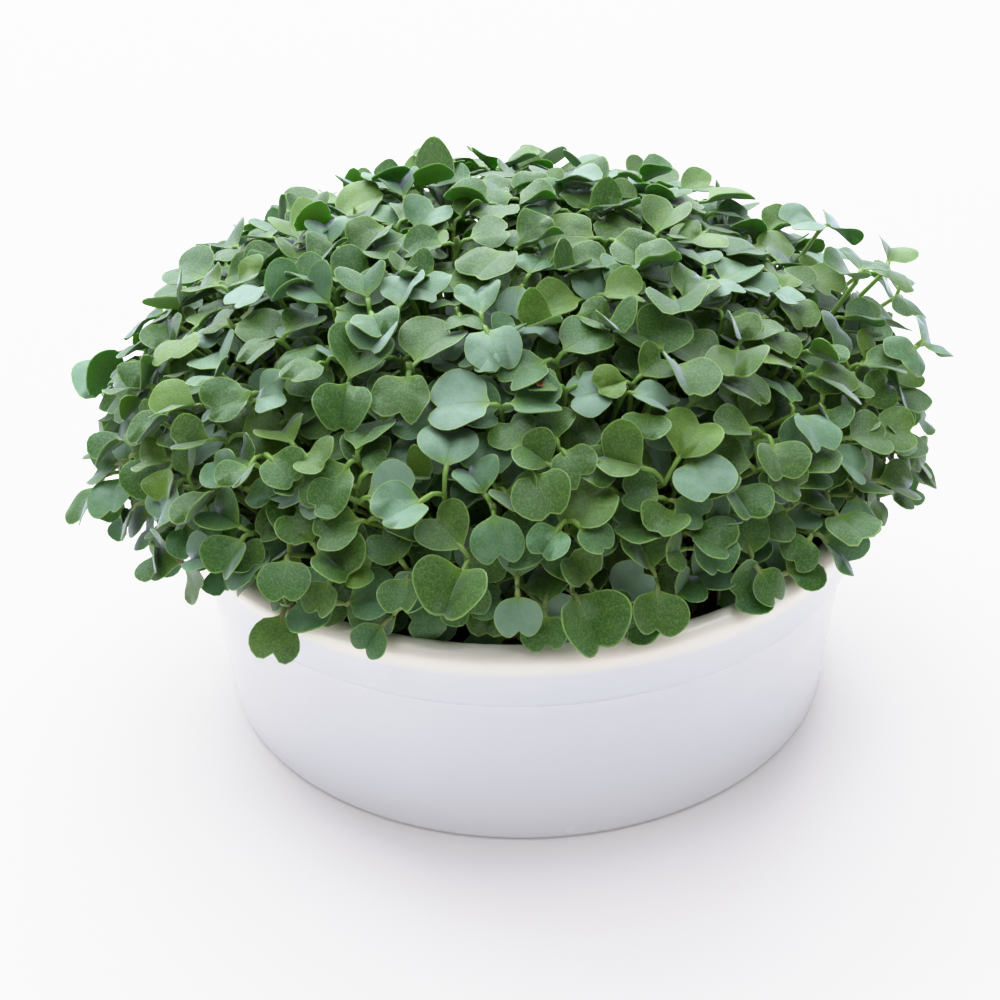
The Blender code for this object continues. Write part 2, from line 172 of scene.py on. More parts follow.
# The seedlings that fill the gaps
FILLER_SEED = 23
FILLER_PLACES = 14
FILLER_TURNS = 5
RIGHT_SHOULDER = (4.0, 24.0)
FRONT = (-150.0, -35.0)
ALL_ROUND = (0.0, 360.0)
# Each row: how many, how far under the dome, the heights on it, the leaves' widths and the bearings. Those
# that stand out at the right shoulder and those along the front lip come first
FILLERS = (
    (3, -11.0, (0.34, 0.56), (9.5, 11.5), RIGHT_SHOULDER),
    (26, 12.0, (-0.08, 0.05), (8.0, 11.0), FRONT),
    (30, 4.0, (-0.08, 0.06), (8.0, 11.5), FRONT),
    (380, 0.5, (-0.17, 1.00), (8.0, 12.5), ALL_ROUND),
    (350, 6.0, (-0.17, 1.00), (8.5, 12.5), ALL_ROUND),
    (240, 12.5, (-0.17, 0.85), (9.0, 12.5), ALL_ROUND),
    (170, 19.0, (-0.15, 0.90), (9.0, 12.5), ALL_ROUND),
)
# At the dish's sides no leaf of theirs hangs below this height
HEM_HEIGHT = 49.0
HEM_START = 50.0
FILLER_ROOT_SCATTER = 4.0
LEAF_MIDDLE = 0.4
FILLER_LEAN = 0.66
FILLER_WOBBLE = 0.28
FILLER_STALK = (1.6, 3.8)
FILLER_CUP = (-0.6, 2.4)
FILLER_LEAF_THICKNESS = 0.6
FILLER_TOUCH = 0.74
FILLER_STUB = 0.35
FILLER_SECTORS = 18
THICKET_RENEWAL = 25

# Fine seedlings
DETAIL_SEED = 5
FINE_STEM_RADIUS = (0.74, 0.52)
FINE_ROOT_DROP = 9.0
STEM_SIDES = 6
STEM_SECTIONS = 8
FINE_STALK_RADIUS = (0.50, 0.45, 0.66, 0.40, 0.06)
FINE_STALK_FLATNESS = (1.0, 0.95, 0.55, 0.50, 0.50)
STALK_SIDES = 6
STALK_SECTIONS = 7
BARE_STALK_SHARE = 0.58
STALK_START_DROP = 0.3
STALK_ARCH = 0.42
STALK_ARCH_PLACE = 0.45
STALK_END_DROP = 0.1
RIB_SHARES = (0.18, 0.42)
RIB_SINK = 0.22
BUD_HEIGHT = (0.9, 3.8)
BUD_RARITY = 5.0
LEAF_TRIES = 10
LEAF_TOUCH = 0.96
LEAF_FREEDOM = 9.0
STEM_SHARE_TESTED = 0.85
BLADE_THICKNESS = 0.36
BLADE_EDGE_THICKNESS = 0.20
LEADING_BLADE_POINTS = 40
OUTER_BLADE_POINTS = 28
INNER_BLADE_POINTS = 20
BLADE_LENGTH_SHARE = 0.74
NEAR_RIB = 0.17
NOTCH_START = 0.45
WEDGE_END = 0.5
LOPSIDED_STEEPNESS = 6.0
SHARP_EDGE = 75.0
STEM_SWAY = 0.8
STEM_FOOT_TAPER = 0.4
STEM_GREEN_RISE = 50.0
TONE_SCATTER = 0.12

# How the leaves bend and wave, mostly in shares of their width. The cup is in mm
FOLDED_SHARE = 0.10
ARCHED_SHARE = 0.30
ARCHED_CUP = -0.5
SOFT_BENDS = {"fold": (0.10, 0.48), "droop": (-0.02, 0.25)}
FOLDED_BENDS = {"fold": (0.50, 0.90)}
ARCHED_BENDS = {"fold": (0.20, 0.50), "droop": (0.12, 0.34)}
ALL_BENDS = {
    "puff": (0.0, 0.11), "wave": (0.010, 0.055), "waves": (2, 3, 3, 4), "phase": (0.0, math.tau),
    "twist": (-0.25, 0.25), "lopsided": (-0.09, 0.09), "length": (0.94, 1.14), "notch": (-0.14, 0.16),
    "wedge": (-0.10, 0.26),
}

# The slots of a seedling's materials
TOP_SLOT, UNDER_SLOT, STEM_SLOT, BUD_SLOT = range(4)

# The plain forms, 1 unit large, that leaves, buds, husks and crumbs are copied from
ON_LINE = 1e-4
FORM_THICKNESS = 0.02
NOTCH_PULL = 0.165
NOTCH_REACH = 0.30
BLADE_SHOULDER = (0.22, 0.36)
BLADE_SHOULDER_DROP = 0.1
SHOULDER_PULL = 0.045
SHOULDER_REACH = 0.24
BASE_PULL = 0.065
BASE_REACH = 0.22
MIDRIB_CUTS = 2
BUD_SLIMNESS = (0.50, 0.30, 1.0)
BUD_TIP = 0.49
BUD_TIP_SINK = 0.20
BUD_LEAF_TIPS = (0.2, 0.45)
BUD_LEAF_TIPS_OUT = 0.05
BUD_LEAF_TIPS_RISE = 0.14
BUD_LEAF_TIPS_SPREAD = (1.25, 0.7, 1.0)
BUD_LIFT = 0.40
HUSK_CUT = 0.05
HUSK_CUT_SLANT = (0.0, 0.2, 1.0)
HUSK_FLATNESS = (1.0, 0.8, 0.8)
HUSK_THICKNESS = 0.16
HUSK_RARITY = 130
HUSK_SIZE = 0.9
HUSK_SPOT = (0.72, 0.2)

# The medium's fine form and the crumbs on it
MEDIUM_SIDES = 96
MEDIUM_RINGS = 26
MEDIUM_FOOT_INSET = 3.0
MEDIUM_FOOT_EDGE = 2.6
MEDIUM_MIDDLE = 24.0
MEDIUM_TOP_EDGE = 1.2
MEDIUM_TOP_INSET = 0.6
NEAR_TOP = 0.1
MEDIUM_RELIEF = 0.9
# Each wave of its top: a layer of the noise, a pitch and a share
MEDIUM_WAVES = ((0.0, 0.11, 0.9), (7.0, 0.33, 0.6), (19.0, 0.8, 0.35))
CRUMB_SEED = 3
CRUMB_COUNT = 420
CRUMB_RADIUS = (0.5, 1.5)
CRUMB_INSET = 2.5
CRUMB_TIP = 0.6
CRUMB_LIFT = 0.15
CRUMB_FLATNESS = (1.0, 0.8, 0.6)
CRUMB_UNEVENNESS = 0.22

# Camera, floor and light, in metres and degrees. The sensor is in mm
CAMERA_DISTANCE = 0.44256
CAMERA_HEIGHT_ANGLE = 35.522
CAMERA_TURN = -0.835
CAMERA_PITCH = 31.109
CAMERA_ROLL = -1.703
SENSOR_WIDTH = 36.0
LENS_SHARE = 1.9026
FLOOR_SIZE = 60.0
AMBIENT_STRENGTH = 0.15
LIGHT_AIM = Vector((0.0, 0.0, 0.06))
# Each light: name, place, width and height, power and colour
SOFTBOXES = (
    ("behind", (-0.25, 1.15, 0.92), (2.4, 1.3), 48.0, "#F3F7FF"),
    ("overhead", (-0.05, 0.27, 1.30), (2.2, 2.0), 42.0, "#F3F5FF"),
    ("front_fill", (0.15, -1.70, 0.42), (2.0, 1.4), 3.3, "#FFF4EA"),
)
# Linear brightness and what is shown of it. All above the last place is pure white
HIGHLIGHTS = ((0.6, 0.6), (0.85, 0.80), (1.1, 0.89), (1.6, 0.95), (4.0, 1.0))

Wish = namedtuple("Wish", "bearing share_up depth leaf_width leader")
Seedling = namedtuple("Seedling", "root bend fork axis turns widths stalk tilts cups plain leading tone")
Form = namedtuple("Form", "points faces slots uv rim")
Forms = namedtuple("Forms", "leading_blade outer_blade inner_blade stem stalk bud husk")


# The rule that the seedlings grow by

def inner_wall_radius(height):
    lip_radius = LIP_CENTRE_RADIUS - LIP_RADIUS
    share = (height - INNER_FOOT_HEIGHT) / (LIP_CENTRE_HEIGHT - INNER_FOOT_HEIGHT)
    return INNER_FOOT_RADIUS + share * (lip_radius - INNER_FOOT_RADIUS)


def hole_centres():
    centres = []
    for index in range(HOLE_COUNT):
        radius = HOLE_RING_RADIUS * math.sqrt((index + 0.5) / HOLE_COUNT)
        angle = index * GOLDEN_ANGLE
        centres.append(Vector((radius * math.cos(angle), radius * math.sin(angle), SOIL_TOP)))
    return centres


def dome_normal(point):
    out = point - DOME_CENTRE
    return Vector(a / (b * b) for a, b in zip(out, DOME_REACH)).normalized()


def head_place(bearing, share_up, depth):
    """Where a head sits: at a bearing and a height on the dome of all heads, and so deep under it."""
    out = math.sqrt(max(0.0, 1.0 - share_up * share_up))
    point = Vector((out * math.cos(bearing), out * math.sin(bearing), share_up))
    surface = DOME_CENTRE + HEAD_SHARE * Vector(a * b for a, b in zip(point, DOME_REACH))
    return surface - dome_normal(surface) * depth


def lowest_head(bearing):
    return LOWEST_HEAD + SIDE_RISE * (1.0 + math.sin(bearing))


def side_vectors(axis):
    right = UP.cross(axis)
    right = right.normalized() if right.length > 1e-3 else Vector((1.0, 0.0, 0.0))
    return axis.cross(right).normalized(), right


def leaf_points(base, along, face, width, cup, lobe, thickness):
    left = face.cross(along)
    length = width * LEAF_LENGTH_SHARE
    outline = [(0.0, STALK_HALF_WIDTH, 0.0)]
    for share_along, share_out in lobe:
        outline.append((share_along * length, share_out * width, cup * (2.0 * share_out) ** 2))
    mirrored = [(u, -v, w) for u, v, w in reversed(outline)]
    outline.append((NOTCH * length, 0.0, 0.0))
    points = [base + along * u + left * v + face * w for u, v, w in outline + mirrored]
    middle = base + along * (0.5 * length)
    points.append(middle + face * (thickness / 2.0))
    points.append(middle - face * (thickness / 2.0))
    return points


def leaf_frames(plant):
    """Base, direction along, and upper face of each of a seedling's two leaves."""
    ahead, right = side_vectors(plant.axis)
    rise = math.radians(STALK_RISE)
    frames = []
    for turn, tilt in zip(plant.turns, plant.tilts):
        span = ahead * math.cos(turn) + right * math.sin(turn)
        base = plant.fork + (span * math.cos(rise) + plant.axis * math.sin(rise)) * plant.stalk
        along = (span * math.cos(tilt) + plant.axis * math.sin(tilt)).normalized()
        face = (plant.axis * math.cos(tilt) - span * math.sin(tilt)).normalized()
        frames.append((base, along, face))
    return frames


def seedling_skin(plant, thickness=LEAF_THICKNESS):
    """Points and triangles of the plain seedling, which keeps the others clear of it."""
    ahead, right = side_vectors(plant.axis)
    front = ahead * math.cos(plant.turns[0]) + right * math.sin(plant.turns[0])
    points = []
    if plant.bend:
        rings = ((plant.root, UP), (plant.bend, UP), (plant.fork, plant.axis))
    else:
        rings = ((plant.root, UP), (plant.fork, UP))
    for centre, axis in rings:
        forward = (front - axis * front.dot(axis)).normalized()
        for corner in range(3):
            turned = Matrix.Rotation(corner * math.tau / 3.0, 3, axis) @ forward
            points.append(centre + turned * STEM_RADIUS)
    faces = [(2, 1, 0)]
    for ring in range(0, 3 * (len(rings) - 1), 3):
        for corner in range(3):
            a, b = ring + corner, ring + (corner + 1) % 3
            faces.extend([(a, b, b + 3), (a, b + 3, a + 3)])
    crotch = len(points)
    points.append(plant.fork + plant.axis * CROTCH_RISE)

    lobe = PLAIN_LOBE if plant.plain else LOBE
    edge_count = 2 * len(lobe) + 2
    starts = []
    for (base, along, face), width, cup in zip(leaf_frames(plant), plant.widths, plant.cups):
        starts.append(len(points))
        points.extend(leaf_points(base, along, face, width, cup, lobe, thickness))
    for start in starts:
        top, under = start + edge_count + 1, start + edge_count + 2
        for step in range(edge_count):
            faces.append((start + step + 1, start + step, top))
            faces.append((start + step, start + step + 1, under))

    # The web between the stem's three top corners, the crotch and the two leaves
    a, b, c = crotch - 3, crotch - 2, crotch - 1
    left, right, top, under = (starts[0] + step for step in (0, edge_count, edge_count + 1, edge_count + 2))
    faces += [(crotch, b, left), (crotch, left, top), (b, a, left), (a, under, left), (a, c, right),
              (a, right, under), (c, crotch, right), (crotch, top, right)]
    left, right, top, under = (starts[1] + step for step in (0, edge_count, edge_count + 1, edge_count + 2))
    faces += [(crotch, c, left), (crotch, left, top), (b, crotch, right), (crotch, top, right),
              (c, b, under), (c, under, left), (b, right, under)]
    return points, faces


def stem_bend(root, fork):
    """Where a leaning stem bends: it starts upright and then leans out, over the lip where it has to."""
    steady = Vector((root.x, root.y, root.z + BEND_RISE * (fork.z - root.z)))
    lifted = steady.lerp(Vector((fork.x, fork.y, steady.z)), BEND_SHIFT)
    if math.hypot(fork.x, fork.y) > inner_wall_radius(SOIL_TOP):
        lifted.z = max(lifted.z, LIP_CENTRE_HEIGHT + LIP_ARCH)
    # Half way along the smooth curve that the three points steer
    return root * 0.25 + lifted * 0.5 + fork * 0.25


def scatter(draw, limit):
    return draw.uniform(-limit, limit)


def plan_seedling(draw, wish, root, effort):
    """A seedling for a wish. The greater the effort, the more it gives way to those that stand."""
    shift = WISH_SCATTER * (effort if wish.leader else 1.0)
    bearing = wish.bearing + scatter(draw, shift)
    share_up = wish.share_up + scatter(draw, shift)
    share_up = min(1.0, max(lowest_head(bearing), share_up + (1.0 - share_up) * DODGE_UP * effort))
    depth = wish.depth + (DEEPEST - wish.depth) * effort
    fork = head_place(bearing, share_up, depth)
    lean = LEAN_TO_DOME * (1.0 - UPRIGHT_INSIDE * depth / DEEPEST)
    axis = (dome_normal(fork) * lean + UP * (1.0 - lean)).normalized()
    tilts = tuple(math.radians(draw.uniform(*LEAF_TILT)) for _ in range(2))
    cups = tuple(draw.uniform(*LEAF_CUP) for _ in range(2))
    if wish.leader:
        turns = tuple(math.radians(turn) + scatter(draw, shift) * LEADER_TURN_SCATTER
                      for turn in wish.leader[2:4])
        widths = wish.leader[4:6]
        stalk = wish.leader[6]
    else:
        wobble = Vector((scatter(draw, AXIS_WOBBLE), scatter(draw, AXIS_WOBBLE), 0.0))
        axis = (axis + wobble).normalized()
        turn = draw.uniform(0.0, math.tau)
        turns = (turn, turn + math.pi + scatter(draw, TURN_SCATTER))
        width = draw.uniform(*wish.leaf_width)
        widths = (width, width * draw.uniform(*SECOND_LEAF_SHARE))
        stalk = draw.uniform(*STALK_LENGTH)
    inside = wish.depth > 0.0
    straight = inside and (fork.xy - root.xy).length < STRAIGHT_LEAN * (fork.z - root.z)
    bend = None if straight else stem_bend(root, fork)
    return Seedling(root, bend, fork, axis, turns, widths, stalk, tilts, cups, inside, bool(wish.leader), 0.5)


class Crowd:
    """The seedlings that already stand, so that the next one can be kept clear of them."""

    def __init__(self):
        self.trees = []

    def is_clear(self, points, faces, middle):
        tree = BVHTree.FromPolygons(points, faces)
        for other, other_middle in self.trees:
            if (other_middle - middle).length > CROWD_REACH:
                continue
            if tree.overlap(other):
                return False
            for point in points[3:]:
                if other.find_nearest(point, CLEARANCE)[0] is not None:
                    return False
        return True

    def add(self, points, faces, middle):
        self.trees.append((BVHTree.FromPolygons(points, faces), middle))


class Thicket:
    """All seedlings as one tree of triangles, which is renewed as it grows."""

    def __init__(self, skins):
        self.points = []
        self.faces = []
        self.fresh = []
        for points, faces in skins:
            self.store(points, faces)
        self.tree = BVHTree.FromPolygons(self.points, self.faces)

    def store(self, points, faces):
        start = len(self.points)
        self.points.extend(points)
        self.faces.extend(tuple(index + start for index in face) for face in faces)

    def crossings(self, points, faces):
        """How many pairs of triangles cross between these faces and all that stands."""
        tree = BVHTree.FromPolygons(points, faces)
        return len(tree.overlap(self.tree)) + sum(len(tree.overlap(other)) for other in self.fresh)

    def add(self, points, faces):
        self.store(points, faces)
        self.fresh.append(BVHTree.FromPolygons(points, faces))
        if len(self.fresh) == THICKET_RENEWAL:
            self.tree = BVHTree.FromPolygons(self.points, self.faces)
            self.fresh = []


def leaves_its_hole(plant, centre):
    upper = plant.bend or plant.fork
    share = (SOIL_TOP + GAP - plant.root.z) / (upper.z - plant.root.z)
    crossing = plant.root.lerp(upper, share)
    hole_flat = HOLE_RADIUS * math.cos(math.pi / HOLE_SIDES)
    return (crossing.xy - centre.xy).length <= hole_flat - STEM_RADIUS - GAP


def off_the_dish(points):
    """True where all but the stem's foot stays off the medium and the lip."""
    for point in points[3:]:
        radius = math.hypot(point.x, point.y)
        if point.z < SOIL_TOP + GAP + OVER_SOIL and radius < LIP_CENTRE_RADIUS:
            return False
        if point.z < LIP_CENTRE_HEIGHT + LIP_RADIUS + OVER_LIP:
            if inner_wall_radius(SOIL_TOP) - INSIDE_LIP < radius < COLLAR_TOP_RADIUS + OUTSIDE_LIP:
                return False
    return True


def wishes():
    for depth, leaders in ((0.0, LEADERS), (SHOULDER_DEPTH, SHOULDER)):
        for leader in leaders:
            yield Wish(math.radians(leader[0]), leader[1], depth, None, leader)
    for count, depth, top, leaf_width in LAYERS:
        for index in range(count):
            share = (index + 0.5) / count
            bearing = index * GOLDEN_ANGLE
            lowest = lowest_head(bearing)
            share_up = lowest + (top - lowest) * (1.0 - share) ** SPREAD_POWER
            yield Wish(bearing, share_up, depth, leaf_width, None)


def wished_root(wish):
    goal = head_place(wish.bearing, wish.share_up, wish.depth).xy * ROOT_SHARE
    return goal * min(1.0, HOLE_RING_RADIUS / goal.length)


def root_places(draw, centres):
    places = []
    for hole, centre in enumerate(centres):
        start = draw.uniform(0.0, math.tau)
        for place in range(ROOT_PLACES):
            ring = 0.0 if place == 0 else ROOT_RING_RADIUS
            angle = start + place * math.tau / (ROOT_PLACES - 1)
            x, y = centre.x + ring * math.cos(angle), centre.y + ring * math.sin(angle)
            places.append((hole, Vector((x, y, ROOT_HEIGHT))))
    return places


def grow_bunches():
    """The seedlings of the solids again, listed by hole."""
    crowd = Crowd()
    centres = hole_centres()
    draw = random.Random(SEED)
    free = root_places(draw, centres)
    bunches = [[] for _ in centres]
    for wish in wishes():
        goal = wished_root(wish)
        free.sort(key=lambda item: (item[1].xy - goal).length)
        for attempt in range(TRIES):
            hole, root = free[attempt % min(NEAR_PLACES, len(free))]
            plant = plan_seedling(draw, wish, root, (attempt / TRIES) ** EFFORT_POWER)
            points, faces = seedling_skin(plant)
            if not (leaves_its_hole(plant, centres[hole]) and off_the_dish(points)):
                continue
            if crowd.is_clear(points, faces, plant.fork):
                crowd.add(points, faces, plant.fork)
                bunches[hole].append(plant)
                free.remove((hole, root))
                break
    return bunches


def with_short_stalks(plants):
    """The photograph's leaves sit close to their forks. Those of the leading seedlings stay as placed."""
    shares = [1.0 if plant.leading else BARE_STALK_SHARE for plant in plants]
    return [plant._replace(stalk=share * plant.stalk) for plant, share in zip(plants, shares)]


def leaf_middles(plant):
    """The middle of each leaf, as rows of coordinates."""
    middles = []
    for (base, along, _), width in zip(leaf_frames(plant), plant.widths):
        middles.append(as_row(base + along * (LEAF_MIDDLE * width)))
    return middles


def emptiest_wishes(draw, depth, heights, leaf_width, bearings, middles):
    """Random wishes for one filler, the one furthest from all leaves first."""
    wishes_here = []
    for _ in range(FILLER_PLACES):
        bearing = math.radians(draw.uniform(*bearings))
        wish = Wish(bearing, draw.uniform(*heights), depth, leaf_width, None)
        goal = as_row(head_place(wish.bearing, wish.share_up, depth))
        room = float(np.min(np.sum((middles - goal) ** 2, axis=1)))
        wishes_here.append((room, wish))
    wishes_here.sort(key=lambda item: -item[0])
    return [wish for _, wish in wishes_here]


def grow_fillers(bunches):
    """Seedlings for the gaps between the bunches. They root anywhere in the medium."""
    draw = random.Random(FILLER_SEED)
    standing = [plant for plants in bunches for plant in plants]
    thicket = Thicket([seedling_skin(plant, FILLER_LEAF_THICKNESS) for plant in standing])
    middles = np.vstack([leaf_middles(plant) for plant in standing])
    fillers = []
    for count, *place in FILLERS:
        for _ in range(count):
            plant = place_filler(draw, emptiest_wishes(draw, *place, middles), thicket)
            if plant:
                fillers.append(plant)
                middles = np.vstack([middles, leaf_middles(plant)])
    return fillers


def over_the_hem(points):
    """True where nothing hangs low at the dish's sides. In front and behind, leaves may hang over the lip."""
    return all(point.z > HEM_HEIGHT or abs(point.x) < HEM_START for point in points[3:])


def place_filler(draw, wishes_here, thicket):
    """Try one wish after the other, each some times, until a seedling fits between those that stand."""
    for wish in wishes_here:
        for _ in range(FILLER_TURNS):
            astray = Vector(scatter(draw, FILLER_ROOT_SCATTER) for _ in range(2))
            goal = wished_root(wish) + astray
            plant = plan_seedling(draw, wish, Vector((goal.x, goal.y, ROOT_HEIGHT)), 0.0)
            wobble = Vector(scatter(draw, FILLER_WOBBLE) for _ in range(3))
            axis = (dome_normal(plant.fork) * FILLER_LEAN + UP * (1.0 - FILLER_LEAN) + wobble).normalized()
            cups = tuple(draw.uniform(*FILLER_CUP) for _ in range(2))
            plant = plant._replace(axis=axis, cups=cups, stalk=draw.uniform(*FILLER_STALK))
            # Leaf margins may brush past each other and the stem hides below, so the test is made with
            # narrower leaves on the upper part of the stem
            widths = tuple(width * FILLER_TOUCH for width in plant.widths)
            stub = plant.fork.lerp(plant.root, FILLER_STUB)
            tested = plant._replace(widths=widths, root=stub, bend=None)
            points, faces = seedling_skin(tested, FILLER_LEAF_THICKNESS)
            if off_the_dish(points) and over_the_hem(points) and not thicket.crossings(points, faces):
                thicket.add(points, faces)
                return plant
    return None


# Modelling by hand: a few helpers

def deselect_all():
    if bpy.context.object and bpy.context.object.mode != "OBJECT":
        bpy.ops.object.mode_set(mode="OBJECT")
    bpy.ops.object.select_all(action="DESELECT")


def select_all():
    bpy.ops.mesh.select_all(action="SELECT")


def start_shape(name, add, **settings):
    """Add one of the basic shapes under a name, open it for modelling and select all of it."""
    deselect_all()
    add(**settings)
    made = bpy.context.object
    made.name = name
    made.data.name = name
    bpy.ops.object.mode_set(mode="EDIT")
    select_all()
    return made


def start_disc(name, sides, radius):
    return start_shape(name, bpy.ops.mesh.primitive_circle_add, vertices=sides, radius=radius,
                       fill_type="NGON")


def draw_up(profile):
    """Draw the selected disc up ring by ring, as on a wheel. The profile gives radii and heights."""
    for (radius, height), (next_radius, next_height) in zip(profile, profile[1:]):
        bpy.ops.mesh.extrude_region_move(TRANSFORM_OT_translate={"value": (0.0, 0.0, next_height - height)})
        bpy.ops.transform.resize(value=(next_radius / radius, next_radius / radius, 1.0))


def turn_outwards():
    """Turn all faces outwards and close the modelling."""
    select_all()
    bpy.ops.mesh.normals_make_consistent(inside=False)
    bpy.ops.object.mode_set(mode="OBJECT")


def pick(made, wanted):
    """Select the points of a mesh in edit mode for which wanted(place) is true."""
    bpy.ops.mesh.select_mode(type="VERT")
    bpy.ops.mesh.select_all(action="DESELECT")
    bpy.ops.object.mode_set(mode="OBJECT")
    for vert in made.data.vertices:
        vert.select = wanted(vert.co)
    bpy.ops.object.mode_set(mode="EDIT")


def apply_modifier(made, kind, **settings):
    added = made.modifiers.new(kind.lower(), kind)
    for name, value in settings.items():
        setattr(added, name, value)
    bpy.context.view_layer.objects.active = made
    bpy.ops.object.modifier_apply(modifier=added.name)


def points_of(mesh):
    points = np.zeros(len(mesh.vertices) * 3)
    mesh.vertices.foreach_get("co", points)
    return points.reshape(-1, 3)


def form_of(made, slots, uv, rim):
    """Keep a modelled shape as a form to bend copies of, and remove its object."""
    faces = [tuple(face.vertices) for face in made.data.polygons]
    form = Form(points_of(made.data), faces, slots, uv, rim)
    bpy.data.objects.remove(made, do_unlink=True)
    return form


def plain_form(made, slot):
    """A form all of one material, whose V runs up its height."""
    points = points_of(made.data)
    uv = np.column_stack((np.full(len(points), 0.5), points[:, 2]))
    return form_of(made, [slot] * len(made.data.polygons), uv, np.zeros(len(points)))


# The forms that repeat: the blade of a seed leaf, the stem, the stalk and the bud

def pull_back(made, wanted, pull, falloff, reach):
    """Drag the wanted points towards the blade's base, and those within reach of them less and less."""
    pick(made, wanted)
    bpy.ops.transform.translate(value=(0.0, -pull, 0.0), use_proportional_edit=True,
                                proportional_edit_falloff=falloff, proportional_size=reach)


def model_blade(outline_points):
    """A flat blade, one unit wide, base at the origin and notched tip along +Y, as a thin closed sheet."""
    made = start_disc("blade", outline_points, 0.5)
    bpy.ops.transform.resize(value=(1.0, BLADE_LENGTH_SHARE, 1.0))
    tip = 0.5 * BLADE_LENGTH_SHARE
    near, far = BLADE_SHOULDER
    pull_back(made, lambda place: place.y > tip - ON_LINE, NOTCH_PULL, "SHARP", NOTCH_REACH)
    pull_back(made, lambda place: place.y < -BLADE_SHOULDER_DROP and near < abs(place.x) < far,
              SHOULDER_PULL, "SMOOTH", SHOULDER_REACH)
    pull_back(made, lambda place: place.y < 0.0 and abs(place.x) < ON_LINE, BASE_PULL, "SHARP", BASE_REACH)
    # The midrib parts the two lobes, and each lobe is a fan about its own middle
    select_all()
    bpy.ops.mesh.bisect(plane_co=(0.0, 0.0, 0.0), plane_no=(1.0, 0.0, 0.0))
    pick(made, lambda place: abs(place.x) < ON_LINE)
    bpy.ops.mesh.subdivide(number_cuts=MIDRIB_CUTS)
    bpy.ops.mesh.select_mode(type="FACE")
    select_all()
    bpy.ops.mesh.poke()
    bpy.ops.object.mode_set(mode="OBJECT")
    rim = np.zeros(len(made.data.vertices))
    rim[:outline_points] = 1.0
    apply_modifier(made, "SOLIDIFY", thickness=FORM_THICKNESS, offset=0.0)
    made.data.transform(Matrix.Translation((0.0, -min(vert.co.y for vert in made.data.vertices), 0.0)))
    # Bending lays the blade's length along the leaf and so mirrors it. Its faces start out turned inwards
    bpy.ops.object.mode_set(mode="EDIT")
    select_all()
    bpy.ops.mesh.flip_normals()
    bpy.ops.object.mode_set(mode="OBJECT")
    points = points_of(made.data)
    uv = np.column_stack((np.abs(points[:, 0]), points[:, 1] / BLADE_LENGTH_SHARE))
    upper = points[:, 2] > 0.0
    slots = [TOP_SLOT if upper[list(face.vertices)].any() else UNDER_SLOT for face in made.data.polygons]
    return form_of(made, slots, uv, np.append(rim, rim))


def model_tube(sides, sections):
    """A straight tube of radius 1 and height 1 on +Z, cut into sections that a path can bend."""
    made = start_disc("tube", sides, 1.0)
    for _ in range(sections):
        bpy.ops.mesh.extrude_region_move(TRANSFORM_OT_translate={"value": (0.0, 0.0, 1.0 / sections)})
    turn_outwards()
    return plain_form(made, STEM_SLOT)


def model_bud():
    """The folded pair of true leaves in the fork: a flat pointed bud with a split tip, 1 unit high."""
    made = start_shape("bud", bpy.ops.mesh.primitive_uv_sphere_add, segments=6, ring_count=5, radius=0.5)
    bpy.ops.transform.resize(value=BUD_SLIMNESS)
    # The tip sinks between the two leaves, whose own tips rise and part
    pick(made, lambda place: place.z > BUD_TIP)
    bpy.ops.transform.translate(value=(0.0, 0.0, -BUD_TIP_SINK))
    low, high = BUD_LEAF_TIPS
    pick(made, lambda place: low < place.z < high and abs(place.x) > BUD_LEAF_TIPS_OUT)
    bpy.ops.transform.translate(value=(0.0, 0.0, BUD_LEAF_TIPS_RISE))
    bpy.ops.transform.resize(value=BUD_LEAF_TIPS_SPREAD)
    select_all()
    bpy.ops.transform.translate(value=(0.0, 0.0, BUD_LIFT))
    bpy.ops.object.mode_set(mode="OBJECT")
    return plain_form(made, BUD_SLOT)


def model_husk():
    """Half of the seed's empty coat, a thin bowl of radius 1."""
    made = start_shape("husk", bpy.ops.mesh.primitive_uv_sphere_add, segments=8, ring_count=6, radius=1.0)
    bpy.ops.mesh.bisect(plane_co=(0.0, 0.0, HUSK_CUT), plane_no=HUSK_CUT_SLANT, clear_outer=True)
    select_all()
    bpy.ops.transform.resize(value=HUSK_FLATNESS)
    bpy.ops.object.mode_set(mode="OBJECT")
    apply_modifier(made, "SOLIDIFY", thickness=HUSK_THICKNESS, offset=-1.0)
    return plain_form(made, 0)


# Bending copies of the forms

def as_row(vector):
    return np.array(vector[:], float)


def smooth_path(knots, count):
    """Points evenly spread in the curve's own measure along a smooth curve through the knots."""
    knots = [as_row(knot) for knot in knots]
    knots = [2.0 * knots[0] - knots[1]] + knots + [2.0 * knots[-1] - knots[-2]]
    spans = len(knots) - 3
    path = []
    for step in range(count + 1):
        place = min(step * spans / count, spans - 1e-9)
        start = int(place)
        t = place - start
        a, b, c, d = knots[start:start + 4]
        path.append(0.5 * ((2.0 * b) + (c - a) * t + (2.0 * a - 5.0 * b + 4.0 * c - d) * t * t
                           + (3.0 * b - a - 3.0 * c + d) * t ** 3))
    return np.array(path)


def bend_tube(form, path, radii, flatten=None, side=None):
    """Run a tube form along a path. Flatten squeezes its sections square to the side vector."""
    sections = len(path) - 1
    tangents = np.gradient(path, axis=0)
    tangents /= np.linalg.norm(tangents, axis=1)[:, None]
    reference = as_row(side) if side is not None else np.array((1.0, 0.0, 0.0))
    rings = np.rint(form.points[:, 2] * sections).astype(int)
    first = reference - tangents * (tangents @ reference)[:, None]
    first /= np.linalg.norm(first, axis=1)[:, None]
    second = np.cross(tangents, first)
    depth = radii if flatten is None else radii * flatten
    x = (form.points[:, 0] * radii[rings])[:, None] * first[rings]
    y = (form.points[:, 1] * depth[rings])[:, None] * second[rings]
    return path[rings] + x + y


